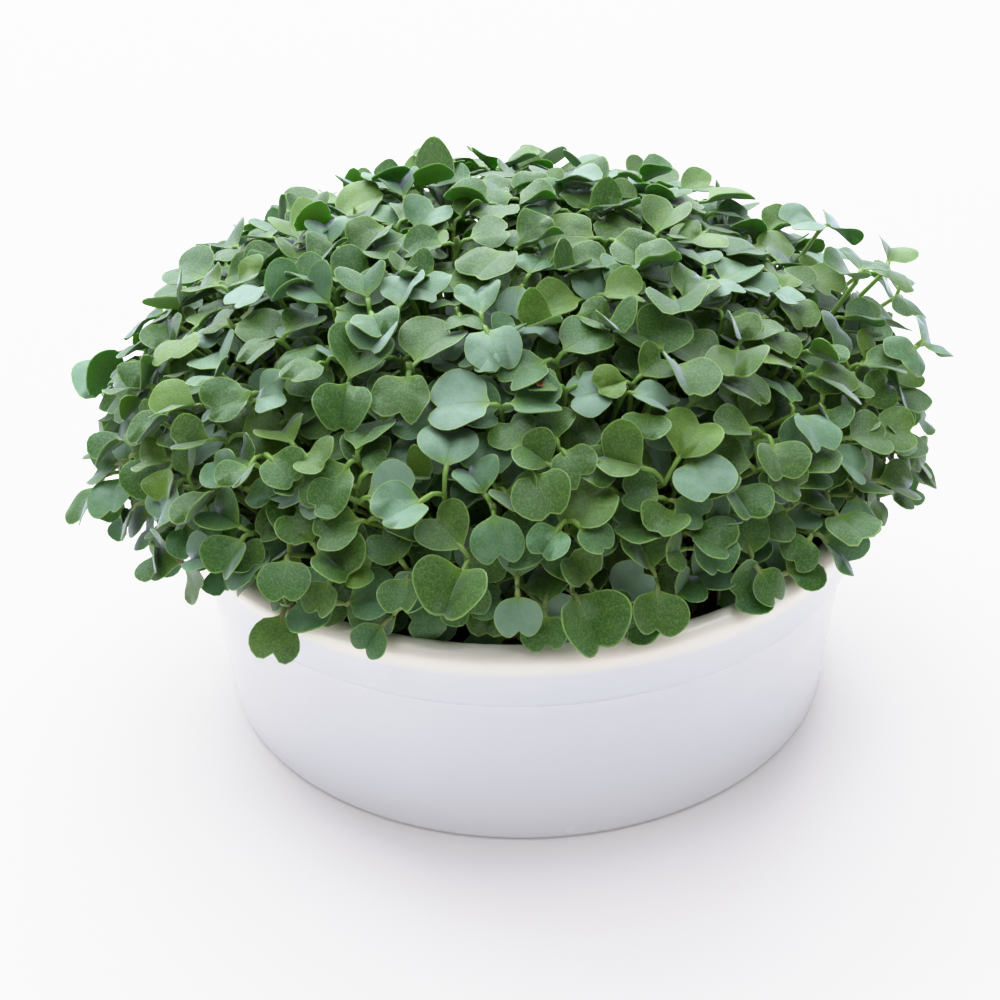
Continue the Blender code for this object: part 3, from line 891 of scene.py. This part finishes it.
def blade_height(u, v, width, shape):
    """Height of a blade over its flat plane, in mm. u runs along it from 0 to 1, v across from -0.5 to 0.5.

    The lobes puff up about their middles, and the margin's waves and the twist grow outwards.
    """
    across = np.abs(v)
    bowl = shape["cup"] * (2.0 * v) ** 2
    fold = shape["fold"] * across * width
    droop = -shape["droop"] * width * np.clip(u, 0.0, 2.0) ** 2
    lobe = np.clip(1.0 - (4.0 * across - 1.0) ** 2, 0.0, 1.0) * np.clip(1.0 - (2.0 * u - 1.0) ** 2, 0.0, 1.0)
    puff = shape["puff"] * width * lobe
    around = np.arctan2(v, u - 0.5)
    reach = np.clip(((u - 0.5) ** 2 + v * v) / 0.25, 0.0, 1.5) ** 1.5
    wave = shape["wave"] * width * np.sin(shape["waves"] * around + shape["phase"]) * reach
    twist = shape["twist"] * (u - 0.1) * v * width
    return bowl + fold + droop + puff + wave + twist


def bend_blade(form, base, along, face, width, shape):
    """Bend a blade form into one leaf that starts at its base and spreads along and across."""
    left = face.cross(along)
    v = form.points[:, 0].copy()
    u = form.points[:, 1] / BLADE_LENGTH_SHARE
    near_rib = np.exp(-(v / NEAR_RIB) ** 2)
    # Near the midrib the tip is notched and the base drawn out, more or less
    u = u - shape["notch"] * near_rib * np.clip(u - NOTCH_START, 0.0, 1.0)
    u = u - shape["wedge"] * near_rib * np.clip(WEDGE_END - u, 0.0, 1.0)
    swell = 1.0 + shape["lopsided"] * np.tanh(v * LOPSIDED_STEEPNESS)
    length = width * BLADE_LENGTH_SHARE * shape["length"]
    small = 0.02
    height = blade_height(u, v, width, shape)
    slope_u = (blade_height(u + small, v, width, shape) - height) / (small * length)
    slope_v = blade_height(u, v + small, width, shape) - blade_height(u, v - small, width, shape)
    slope_v /= 2.0 * small * width
    normal = np.column_stack((-slope_u, -slope_v, np.ones(len(u))))
    normal /= np.linalg.norm(normal, axis=1)[:, None]
    thick = np.where(form.rim > 0.99, BLADE_EDGE_THICKNESS, BLADE_THICKNESS) / 2.0
    place = np.column_stack((u * length, v * width * swell, height))
    place += normal * (np.sign(form.points[:, 2]) * thick)[:, None]
    return as_row(base) + place @ np.array([as_row(along), as_row(left), as_row(face)])


class Heap:
    """Copies of forms, gathered into one mesh."""

    def __init__(self):
        self.copies = []

    def add(self, form, points, tone):
        self.copies.append((form, points, tone))

    def make(self, name, materials):
        """One smooth-shaded object with its place in its mesh, in metres."""
        forms, points, tones = zip(*self.copies)
        faces = []
        start = 0
        for form in forms:
            faces.extend(tuple(index + start for index in face) for face in form.faces)
            start += len(form.points)
        mesh = bpy.data.meshes.new(name)
        mesh.from_pydata((np.vstack(points) * MM).tolist(), [], faces)
        for material in materials:
            mesh.materials.append(material)
        mesh.polygons.foreach_set("material_index", [slot for form in forms for slot in form.slots])
        corners = np.zeros(len(mesh.loops), int)
        mesh.loops.foreach_get("vertex_index", corners)
        layer = mesh.uv_layers.new(name="growth")
        layer.data.foreach_set("uv", np.vstack([form.uv for form in forms])[corners].ravel())
        tone = np.repeat(tones, [len(form.points) for form in forms])
        for label, values in (("rim", np.concatenate([form.rim for form in forms])), ("tone", tone)):
            attribute = mesh.attributes.new(label, "FLOAT", "POINT")
            attribute.data.foreach_set("value", values)
        made = bpy.data.objects.new(name, mesh)
        bpy.context.scene.collection.objects.link(made)
        deselect_all()
        made.select_set(True)
        bpy.context.view_layer.objects.active = made
        bpy.ops.object.shade_smooth_by_angle(angle=math.radians(SHARP_EDGE))
        return made


# Fine seedlings

def draw_each(draw, ranges):
    """A number for each name: one between its two limits, or one of a longer list."""
    return {name: draw.uniform(*limits) if len(limits) == 2 else draw.choice(limits)
            for name, limits in ranges.items()}


def leaf_shape(draw, cup):
    """The bends of one leaf. Most are softly cupped, some fold along the midrib and some arch down."""
    kind = draw.random()
    shape = {"cup": cup} | draw_each(draw, SOFT_BENDS)
    if kind < FOLDED_SHARE:
        shape |= draw_each(draw, FOLDED_BENDS)
    elif kind < FOLDED_SHARE + ARCHED_SHARE:
        shape |= {"cup": ARCHED_CUP - cup} | draw_each(draw, ARCHED_BENDS)
    return shape | draw_each(draw, ALL_BENDS)


def stem_path(plant, draw):
    """The stem's line from its root in the medium, through the plain stem's points, to the fork."""
    deep = plant.root - UP * FINE_ROOT_DROP
    if plant.bend:
        middle = [plant.bend]
    else:
        sway = Vector((scatter(draw, STEM_SWAY), scatter(draw, STEM_SWAY), 0.0))
        middle = [plant.root.lerp(plant.fork, 0.5) + sway]
    return smooth_path([deep, plant.root] + middle + [plant.fork], STEM_SECTIONS)


def stalk_path(plant, base, along, face, width, shape):
    """From the fork, up and over to the blade, then on under it as its midrib."""
    start = plant.fork - plant.axis * STALK_START_DROP
    over = (plant.fork + plant.axis * (STALK_ARCH * plant.stalk)).lerp(base, STALK_ARCH_PLACE)
    knots = [start, over, base - face * STALK_END_DROP]
    length = width * BLADE_LENGTH_SHARE * shape["length"]
    for share in RIB_SHARES:
        height = float(blade_height(np.array(share), np.array(0.0), width, shape))
        knots.append(base + along * (share * length) + face * (height - RIB_SINK))
    return smooth_path(knots, STALK_SECTIONS)


def add_bud(heap, form, plant, size):
    """The bud stands in the fork, its flat side turned to the leaves."""
    _, right = side_vectors(plant.axis)
    turned = Matrix.Rotation(plant.turns[0], 3, plant.axis) @ right
    square = plant.axis.cross(turned)
    sides = np.array([as_row(turned), as_row(square), as_row(plant.axis)])
    heap.add(form, as_row(plant.fork) + form.points * size @ sides, plant.tone)


def add_stem(heap, form, plant, draw, thicket):
    """The stem, which the leaves that are settled later keep clear of."""
    radii = np.linspace(FINE_STEM_RADIUS[0], FINE_STEM_RADIUS[1], STEM_SECTIONS + 1)
    radii[0] *= STEM_FOOT_TAPER
    path = stem_path(plant, draw)
    heap.add(form, bend_tube(form, path, radii), plant.tone)
    lower = path[0] + STEM_SHARE_TESTED * (path - path[0])
    thicket.add(bend_tube(form, lower, radii).tolist(), form.faces)


def settle_leaf(blade, base, along, face, width, cup, draw, thicket):
    """Try bends and small tilts of one leaf, and keep the ones that cross its neighbours least."""
    fewest = None
    for _ in range(LEAF_TRIES):
        shape = leaf_shape(draw, cup)
        nod = Matrix.Rotation(math.radians(scatter(draw, LEAF_FREEDOM)), 3, face.cross(along))
        roll = Matrix.Rotation(math.radians(scatter(draw, LEAF_FREEDOM)), 3, along)
        turned = nod @ roll
        points = bend_blade(blade, base, turned @ along, turned @ face, LEAF_TOUCH * width, shape)
        crossings = thicket.crossings(points.tolist(), blade.faces)
        if fewest is None or crossings < fewest[0]:
            fewest = (crossings, shape, turned @ along, turned @ face, points)
        if crossings == 0:
            break
    thicket.add(fewest[4].tolist(), blade.faces)
    return fewest[1:4]


def add_husk(heap, form, base, along, face, width, shape, draw):
    """The seed's coat stays stuck near the tip of a leaf."""
    left = face.cross(along)
    share_along, share_out = HUSK_SPOT
    height = float(blade_height(np.array(share_along), np.array(share_out), width, shape))
    spot = base + along * (share_along * width * BLADE_LENGTH_SHARE) + left * (share_out * width)
    spot += face * (height + HUSK_SIZE)
    turned = Matrix.Rotation(draw.uniform(0.0, math.tau), 3, face)
    sides = np.array([as_row(turned @ side) for side in (along, left, face)])
    heap.add(form, as_row(spot) + form.points * HUSK_SIZE @ sides, 0.5)


def add_leaves(heap, forms, plant, draw, thicket, husks):
    """Both leaves of a seedling with their stalks, here and there a husk, and the bud between them."""
    blade = forms.inner_blade if plant.plain else forms.outer_blade
    if plant.leading:
        blade = forms.leading_blade
    places = np.linspace(0.0, 1.0, STALK_SECTIONS + 1)
    knots = np.linspace(0.0, 1.0, len(FINE_STALK_RADIUS))
    radii = np.interp(places, knots, FINE_STALK_RADIUS)
    flat = np.interp(places, knots, FINE_STALK_FLATNESS)
    for (base, along, face), width, cup in zip(leaf_frames(plant), plant.widths, plant.cups):
        shape, along, face = settle_leaf(blade, base, along, face, width, cup, draw, thicket)
        path = stalk_path(plant, base, along, face, width, shape)
        heap.add(forms.stalk, bend_tube(forms.stalk, path, radii, flat, face.cross(along)), plant.tone)
        tone = min(1.0, max(0.0, plant.tone + scatter(draw, TONE_SCATTER)))
        heap.add(blade, bend_blade(blade, base, along, face, width, shape), tone)
        if draw.randrange(HUSK_RARITY) == 0:
            add_husk(husks, forms.husk, base, along, face, width, shape, draw)
    low, high = BUD_HEIGHT
    size = low + (high - low) * draw.random() ** BUD_RARITY
    add_bud(heap, forms.bud, plant, size)


# Materials

def linear(hex_colour):
    """An sRGB hex colour as linear red, green, blue and alpha."""
    channels = [int(hex_colour[place:place + 2], 16) / 255.0 for place in (1, 3, 5)]
    return [c / 12.92 if c <= 0.04045 else ((c + 0.055) / 1.055) ** 2.4 for c in channels] + [1.0]


def add_node(tree, kind, inputs=None, output=0, stops=(), **settings):
    """Add one shader node with its settings and links, and hand back one of its outputs.

    An input is a value or another node's output. Stops are the places and hex colours of a colour ramp.
    """
    node = tree.nodes.new("ShaderNode" + kind)
    for name, value in settings.items():
        setattr(node, name, value)
    for name, value in (inputs or {}).items():
        if isinstance(value, bpy.types.NodeSocket):
            tree.links.new(value, node.inputs[name])
        else:
            node.inputs[name].default_value = value
    for index, (place, colour) in enumerate(stops):
        elements = node.color_ramp.elements
        element = elements[index] if index < len(elements) else elements.new(place)
        element.position = place
        element.color = linear(colour)
    return node.outputs[output]


# A Mix node has its colours at inputs 6 and 7 and at output 2
COLOURS = {"data_type": "RGBA", "output": 2}
SMOOTH = {"interpolation_type": "SMOOTHSTEP"}
DOT = {"operation": "DOT_PRODUCT", "output": "Value"}


def start_material(name, **constants):
    """A new material, what adds nodes to it, and its shader with the constants set."""
    material = bpy.data.materials.new(name)
    material.use_nodes = True
    tree = material.node_tree
    shader = tree.nodes["Principled BSDF"]
    for label, value in constants.items():
        shader.inputs[label.replace("_", " ")].default_value = value
    return material, partial(add_node, tree), shader


def finish_material(material, shader, **links):
    """Link the patterns to the shader's inputs."""
    for label, pattern in links.items():
        material.node_tree.links.new(pattern, shader.inputs[label.replace("_", " ")])
    return material


def per_metre(size_mm):
    """The Scale of a noise whose features are about this large."""
    return 1.0 / (size_mm * MM)


def waxy_leaf(name, stops, vein, margin, wax, roughness):
    """Living leaf under a thin bloom of wax: a soft broad sheen, a frosty cast and light seeping through."""
    material, node, shader = start_material(
        name, IOR=1.45, Specular_IOR_Level=0.62, Subsurface_Weight=0.18, Subsurface_Scale=0.0012,
        Subsurface_Radius=(0.35, 1.0, 0.10), Sheen_Weight=wax, Sheen_Roughness=0.32,
        Sheen_Tint=linear("#DEE3FE"), Specular_Tint=linear("#DDEBF6"))
    place = node("TexCoord", output="Object")
    grown = node("UVMap", uv_map="growth")
    blotch = node("TexNoise", {"Vector": place, "Scale": per_metre(4.0), "Detail": 2.0})
    tone = node("Attribute", attribute_name="tone", output="Fac")
    shift = node("MapRange", {"Value": blotch, "From Min": 0.3, "From Max": 0.7, "To Min": -0.06,
                              "To Max": 0.06}, clamp=False)
    tone = node("Math", {0: tone, 1: shift}, operation="ADD")
    colour = node("ValToRGB", {"Fac": tone}, stops=stops)
    # Frost of wax grains, drawn at 0.4 mm so that it shows
    fine = node("TexNoise", {"Vector": place, "Scale": per_metre(0.42), "Detail": 1.0})
    grains = node("MapRange", {"Value": fine, "From Min": 0.42, "From Max": 0.72, "To Max": 0.27})
    colour = node("Mix", {0: grains, 6: colour, 7: linear("#88AC58")}, **COLOURS)
    # Yellow-green where the stalk runs into the blade
    from_base = node("VectorMath", {0: grown}, output="Value", operation="LENGTH")
    heart = node("MapRange", {"Value": from_base, "From Min": 0.04, "From Max": 0.36, "To Min": 0.60,
                              "To Max": 0.0}, **SMOOTH)
    colour = node("Mix", {0: heart, 6: colour, 7: linear(vein)}, **COLOURS)
    # The midrib narrows and fades towards the tip, and pairs of side veins run out and forward from it
    off_rib = node("VectorMath", {0: grown, 1: (1.0, 0.035, 0.0)}, **DOT)
    rib = node("MapRange", {"Value": off_rib, "From Max": 0.034, "To Min": 0.55, "To Max": 0.0}, **SMOOTH)
    run = node("VectorMath", {0: grown, 1: (-2.1, 3.3, 0.0)}, **DOT)
    run = node("Math", {0: run, 1: 0.5}, operation="PINGPONG")
    veins = node("MapRange", {"Value": run, "From Max": 0.10, "To Min": 0.12, "To Max": 0.0}, **SMOOTH)
    veins = node("Math", {0: rib, 1: veins}, operation="MAXIMUM")
    colour = node("Mix", {0: veins, 6: colour, 7: linear(vein)}, **COLOURS)
    # The thin pale margin
    rim = node("Attribute", attribute_name="rim", output="Fac")
    edge = node("MapRange", {"Value": rim, "From Min": 0.92, "From Max": 0.98, "To Max": 0.60}, **SMOOTH)
    colour = node("Mix", {0: edge, 6: colour, 7: linear(margin)}, **COLOURS)
    rough = node("Math", {0: blotch, 1: 0.16, 2: roughness - 0.08}, operation="MULTIPLY_ADD")
    height = node("Math", {0: fine, 1: 0.35}, operation="MULTIPLY")
    height = node("Math", {0: veins, 1: -1.6, 2: height}, operation="MULTIPLY_ADD")
    bump = node("Bump", {"Height": height, "Strength": 0.4, "Distance": 0.0002})
    return finish_material(material, shader, Base_Color=colour, Roughness=rough, Normal=bump)


def mottled(name, size_mm, stops, **constants):
    """A material whose colour wanders between the stops, in patches of about this size."""
    material, node, shader = start_material(name, **constants)
    place = node("TexCoord", output="Object")
    blotch = node("TexNoise", {"Vector": place, "Scale": per_metre(size_mm), "Detail": 2.0})
    colour = node("ValToRGB", {"Fac": blotch}, stops=stops)
    return finish_material(material, shader, Base_Color=colour)


def juicy_stem():
    """Blanched stem: watery and half clear, reddish-brown at its foot and olive green at the fork."""
    material, node, shader = start_material(
        "blanched_stem", IOR=1.38, Subsurface_Weight=0.20, Subsurface_Scale=0.002,
        Subsurface_Radius=(0.6, 1.0, 0.4), Roughness=0.40)
    place = node("TexCoord", output="Object")
    height = node("SeparateXYZ", {"Vector": place}, output="Z")
    share = node("MapRange", {"Value": height, "From Min": SOIL_TOP * MM,
                              "From Max": (SOIL_TOP + STEM_GREEN_RISE) * MM})
    blotch = node("TexNoise", {"Vector": place, "Scale": per_metre(4.0), "Detail": 2.0})
    share = node("Math", {0: blotch, 1: 0.22, 2: share}, operation="MULTIPLY_ADD")
    colour = node("ValToRGB", {"Fac": share},
                  stops=((0.08, "#6E4C38"), (0.17, "#7F6C4A"), (0.32, "#82915A"), (0.62, "#74943F"),
                         (1.0, "#6B9040")))
    return finish_material(material, shader, Base_Color=colour)


def young_bud():
    """The first true leaves, still folded: softly hairy and lighter than the seed leaves."""
    return mottled("folded_true_leaf", 0.8, ((0.3, "#5F8A38"), (0.7, "#83A652")), IOR=1.40, Roughness=0.55,
                   Subsurface_Weight=0.15, Subsurface_Scale=0.001, Sheen_Weight=0.3)


def seed_coat():
    """The dry coat of the seed: thin, papery and reddish brown."""
    return mottled("dry_seed_coat", 0.7, ((0.3, "#54301F"), (0.7, "#8A5A3E")), IOR=1.45, Roughness=0.55,
                   Subsurface_Weight=0.1, Subsurface_Scale=0.0005)


def stoneware_glaze():
    """White stoneware under a clear glossy glaze.

    It is cool on the wall and painted lighter towards the foot, to offset the shade there. A painted shade
    line darkens the crease under the collar, and the lip is creamy.
    """
    material, node, shader = start_material("white_stoneware_glaze", IOR=1.52, Coat_Weight=0.35,
                                            Coat_Roughness=0.06)
    place = node("TexCoord", output="Object")
    height = node("SeparateXYZ", {"Vector": place}, output="Z")
    # Waver of the heights of the painted light on the wall, and of the glaze's roughness
    glaze_waver = node("TexNoise", {"Vector": place, "Scale": per_metre(18.0), "Detail": 2.0})
    height = node("Math", {0: glaze_waver, 1: 0.8 * MM, 2: height}, operation="MULTIPLY_ADD")
    share = node("MapRange", {"Value": height, "From Max": (LIP_CENTRE_HEIGHT + LIP_RADIUS) * MM})
    # Painted light: lighter towards the foot to offset the shade there, and a painted shade line under the
    # collar
    colour = node("ValToRGB", {"Fac": share},
                  stops=((0.0, "#F4F6FA"), (0.35, "#ECEFF5"), (0.71, "#E8EBF2"), (0.73, "#CCCFD9"),
                         (0.75, "#E4E9EF"), (0.895, "#E4E9EF"), (0.93, "#FCF6EA")))
    rough = node("Math", {0: glaze_waver, 1: 0.10, 2: 0.20}, operation="MULTIPLY_ADD")
    ripple = node("TexNoise", {"Vector": place, "Scale": per_metre(6.0), "Detail": 1.0})
    bump = node("Bump", {"Height": ripple, "Strength": 0.10, "Distance": 0.0003})
    return finish_material(material, shader, Base_Color=colour, Roughness=rough, Normal=bump)


def damp_compost():
    """Fibrous growing medium, damp and matt, with reddish fibres and darker crumbs."""
    material, node, shader = start_material("damp_coir_compost", IOR=1.33)
    place = node("TexCoord", output="Object")
    clump = node("TexNoise", {"Vector": place, "Scale": per_metre(3.5), "Detail": 5.0, "Roughness": 0.65})
    colour = node("ValToRGB", {"Fac": clump},
                  stops=((0.30, "#1E130D"), (0.52, "#4A2F20"), (0.68, "#7A5238"), (0.80, "#96714F")))
    rough = node("Math", {0: clump, 1: 0.5, 2: 0.55}, operation="MULTIPLY_ADD")
    grain = node("TexNoise", {"Vector": place, "Scale": per_metre(1.1), "Detail": 4.0, "Roughness": 0.7})
    bump = node("Bump", {"Height": grain, "Strength": 0.8, "Distance": 0.0007})
    return finish_material(material, shader, Base_Color=colour, Roughness=rough, Normal=bump)


# The dish and the growing medium

def arc(centre_radius, centre_height, radius, start, end, steps):
    """Radius and height pairs along an arc, by angles in degrees from outwards, anticlockwise."""
    pairs = []
    for step in range(steps + 1):
        angle = math.radians(start + (end - start) * step / steps)
        pairs.append((centre_radius + radius * math.cos(angle), centre_height + radius * math.sin(angle)))
    return pairs


def fine_dish_profile():
    """From the foot's flat, up the wall, over the lip and down inside to the floor.

    The crease under the collar and the collar's edge are rounded, by some tenths of a millimetre.
    """
    foot = arc(BASE_RADIUS - BASE_EDGE, BASE_EDGE, BASE_EDGE, -90.0, 5.0, 5)
    shelf = COLLAR_BOTTOM_HEIGHT - COLLAR_STEP
    wall = [(WALL_TOP_RADIUS + out, shelf + up) for out, up in WALL_STEPS]
    wall.append((COLLAR_BOTTOM_RADIUS - SHELF_INSET, shelf))
    collar = arc(COLLAR_BOTTOM_RADIUS - COLLAR_EDGE, shelf + COLLAR_EDGE, COLLAR_EDGE, -75.0, 10.0, 4)
    collar.append((COLLAR_TOP_RADIUS - COLLAR_TOP_INSET, COLLAR_TOP_HEIGHT - COLLAR_TOP_DROP))
    lip = arc(LIP_CENTRE_RADIUS, LIP_CENTRE_HEIGHT, LIP_RADIUS, -8.0, 188.0, 14)
    inner = [(inner_wall_radius(INSIDE_RING_HEIGHT), INSIDE_RING_HEIGHT)]
    radius = INNER_FOOT_RADIUS - FLOOR_RADIUS
    inner += arc(INNER_FOOT_RADIUS - radius, FLOOR_THICKNESS + radius, radius, 0.0, -90.0, 4)
    return foot + wall + collar + lip + inner


def build_dish(material):
    """The dish, drawn up from a disc, round its lip and down to its floor."""
    profile = fine_dish_profile()
    made = start_disc("glazed_dish", DISH_SIDES, profile[0][0])
    draw_up(profile)
    turn_outwards()
    made.data.transform(Matrix.Scale(MM, 4) @ Matrix.Translation((0.0, 0.0, profile[0][1])))
    bpy.ops.object.shade_smooth_by_angle(angle=math.radians(DISH_SHARP_EDGE))
    made.data.materials.append(material)
    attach(made, "root")
    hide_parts("bowl")


def medium_height(x, y):
    """Height of the crumbly surface over a place, in mm."""
    rough = sum(noise.noise(Vector((x, y, layer)) * pitch) * share for layer, pitch, share in MEDIUM_WAVES)
    return SOIL_TOP + MEDIUM_RELIEF * rough


def build_medium(material):
    """A disc that fills the dish, with rounded edges and a crumbly top."""
    bottom = FLOOR_THICKNESS + GAP
    profile = [(INNER_FOOT_RADIUS - MEDIUM_FOOT_INSET, bottom)]
    for height in (bottom + MEDIUM_FOOT_EDGE, MEDIUM_MIDDLE, SOIL_TOP - MEDIUM_TOP_EDGE):
        profile.append((inner_wall_radius(height) - GAP, height))
    outer = inner_wall_radius(SOIL_TOP) - GAP - MEDIUM_TOP_INSET
    profile += [(outer * (1.0 - ring / MEDIUM_RINGS), SOIL_TOP) for ring in range(MEDIUM_RINGS)]
    made = start_disc("compost_bed", MEDIUM_SIDES, profile[0][0])
    bpy.ops.transform.translate(value=(0.0, 0.0, bottom))
    draw_up(profile)
    bpy.ops.mesh.poke()
    turn_outwards()
    for vert in made.data.vertices:
        if vert.co.z > SOIL_TOP - NEAR_TOP:
            vert.co.z = medium_height(vert.co.x, vert.co.y)
    made.data.transform(Matrix.Scale(MM, 4))
    made.data.materials.append(material)
    made.data.shade_smooth()
    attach(made, "root")
    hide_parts("soil")


def model_crumb():
    """One crumb of compost, a lump with an uneven skin."""
    made = start_shape("crumb", bpy.ops.mesh.primitive_ico_sphere_add, subdivisions=1, radius=1.0)
    bpy.ops.transform.resize(value=CRUMB_FLATNESS)
    bpy.ops.transform.vertex_random(offset=CRUMB_UNEVENNESS, seed=4)
    bpy.ops.object.mode_set(mode="OBJECT")
    return plain_form(made, 0)


def build_crumbs(material):
    """Crumbs that lie half sunk on the medium, all over its top."""
    draw = random.Random(CRUMB_SEED)
    crumb = model_crumb()
    heap = Heap()
    for _ in range(CRUMB_COUNT):
        radius = (inner_wall_radius(SOIL_TOP) - CRUMB_INSET) * math.sqrt(draw.random())
        angle = draw.uniform(0.0, math.tau)
        size = draw.uniform(*CRUMB_RADIUS)
        x, y = radius * math.cos(angle), radius * math.sin(angle)
        turned = Matrix.Rotation(draw.uniform(0.0, math.tau), 3, "Z")
        tipped = turned @ Matrix.Rotation(scatter(draw, CRUMB_TIP), 3, "X")
        points = crumb.points * size @ np.array(tipped)
        heap.add(crumb, points + np.array((x, y, medium_height(x, y) + CRUMB_LIFT * size)), 0.0)
    made = heap.make("compost_crumbs", [material])
    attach(made, "root")


# The seedlings as pieces

def build_seedlings(materials, husk_material):
    """One piece for each bunch and for each sector of the filling seedlings, and one for all husks."""
    bunches = [with_short_stalks(plants) for plants in grow_bunches()]
    fillers = grow_fillers(bunches)
    forms = Forms(model_blade(LEADING_BLADE_POINTS), model_blade(OUTER_BLADE_POINTS),
                  model_blade(INNER_BLADE_POINTS), model_tube(STEM_SIDES, STEM_SECTIONS),
                  model_tube(STALK_SIDES, STALK_SECTIONS), model_bud(), model_husk())
    draw = random.Random(DETAIL_SEED)
    groups = {f"seedling_bunch_{number:02d}": plants for number, plants in enumerate(bunches, start=1)}
    sectors = [[] for _ in range(FILLER_SECTORS)]
    for plant in fillers:
        angle = math.atan2(plant.fork.y, plant.fork.x) % math.tau
        sectors[int(angle / math.tau * FILLER_SECTORS) % FILLER_SECTORS].append(plant)
    for number, plants in enumerate(sectors, start=1):
        groups[f"filling_seedlings_{number:02d}"] = plants
    thicket = Thicket([])
    husks = Heap()
    heaps = {name: Heap() for name in groups}
    for name, plants in groups.items():
        groups[name] = [plant._replace(tone=draw.random()) for plant in plants]
        for plant in groups[name]:
            add_stem(heaps[name], forms.stem, plant, draw, thicket)
    for name, plants in groups.items():
        for plant in plants:
            add_leaves(heaps[name], forms, plant, draw, thicket, husks)
        bunch = heaps[name].make(name, materials)
        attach(bunch, "root")
        if name.startswith("seedling_bunch"):
            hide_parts(name.replace("seedling_bunch", "seedlings"))
    made = husks.make("seed_husks", [husk_material])
    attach(made, "root")


# Camera, floor and light

def place_camera():
    """The photograph's viewpoint: some 443 mm from the middle of the dish's foot, 31 degrees down."""
    height_angle = math.radians(CAMERA_HEIGHT_ANGLE)
    turn, pitch, roll = (math.radians(angle) for angle in (CAMERA_TURN, CAMERA_PITCH, CAMERA_ROLL))
    spot = Vector((0.0, -CAMERA_DISTANCE * math.cos(height_angle), CAMERA_DISTANCE * math.sin(height_angle)))
    ahead = Vector((math.sin(turn) * math.cos(pitch), math.cos(turn) * math.cos(pitch), -math.sin(pitch)))
    level = ahead.cross(UP).normalized()
    above = level.cross(ahead)
    right = math.cos(roll) * level + math.sin(roll) * above
    up = -math.sin(roll) * level + math.cos(roll) * above
    data = bpy.data.cameras.new("camera")
    data.sensor_width = SENSOR_WIDTH
    data.lens = SENSOR_WIDTH * LENS_SHARE
    data.clip_start = 0.01
    camera = bpy.data.objects.new("camera", data)
    bpy.context.scene.collection.objects.link(camera)
    camera.matrix_world = Matrix(((right.x, up.x, -ahead.x, spot.x), (right.y, up.y, -ahead.y, spot.y),
                                  (right.z, up.z, -ahead.z, spot.z), (0.0, 0.0, 0.0, 1.0)))
    bpy.context.scene.camera = camera


def place_floor():
    deselect_all()
    bpy.ops.mesh.primitive_plane_add(size=FLOOR_SIZE)
    floor = bpy.context.object
    floor.name = "floor"
    paper = start_material("lit_white_paper", Roughness=0.8, Base_Color=linear("#EFEAE8"),
                           Emission_Color=linear("#FFFFFF"), Emission_Strength=0.08)
    floor.data.materials.append(paper[0])


def add_softbox(name, spot, size, power, colour):
    data = bpy.data.lights.new(name, "AREA")
    data.shape = "RECTANGLE"
    data.size, data.size_y = size
    data.energy = power
    data.color = linear(colour)[:3]
    lamp = bpy.data.objects.new(name, data)
    bpy.context.scene.collection.objects.link(lamp)
    lamp.location = spot
    lamp.rotation_euler = (Vector(spot) - LIGHT_AIM).to_track_quat("Z", "Y").to_euler()


def soften_highlights(settings):
    """White paper and glaze keep their drawing in full light, also where they mirror the light behind."""
    brightest = HIGHLIGHTS[-1][0]
    mapping = settings.curve_mapping
    settings.use_curve_mapping = True
    mapping.white_level = (brightest, brightest, brightest)
    points = mapping.curves[3].points
    for place, shown in HIGHLIGHTS[:-1]:
        points.new(place / brightest, shown)
    for point in points:
        point.handle_type = "AUTO_CLAMPED"
    mapping.update()


def place_lights():
    """Soft studio light: a broad one from behind and above, one overhead and a weak fill in front."""
    world = bpy.data.worlds.new("soft_studio")
    bpy.context.scene.world = world
    world.use_nodes = True
    background = world.node_tree.nodes["Background"]
    background.inputs["Color"].default_value = linear("#F5F6FA")
    background.inputs["Strength"].default_value = AMBIENT_STRENGTH
    for light in SOFTBOXES:
        add_softbox(*light)
    settings = bpy.context.scene.view_settings
    settings.view_transform = "Standard"
    settings.look = "None"
    settings.exposure = 0.0
    settings.gamma = 1.0
    soften_highlights(settings)


place_camera()
place_floor()
place_lights()
build_dish(stoneware_glaze())
compost = damp_compost()
build_medium(compost)
build_crumbs(compost)
leaf_top = waxy_leaf("waxy_leaf_top",
                     stops=((0.0, "#728F7A"), (0.18, "#4C734A"), (0.36, "#345A17"), (0.80, "#3C5B0D"),
                            (1.0, "#5C7C19")),
                     vein="#6C9028", margin="#8AA952", wax=1.0, roughness=0.52)
leaf_under = waxy_leaf("leaf_underside",
                       stops=((0.0, "#4F7330"), (0.5, "#54751C"), (1.0, "#6E8C24")),
                       vein="#7C9A40", margin="#8AA952", wax=0.30, roughness=0.52)
build_seedlings([leaf_top, leaf_under, juicy_stem(), young_bud()], seed_coat())

deselect_all()
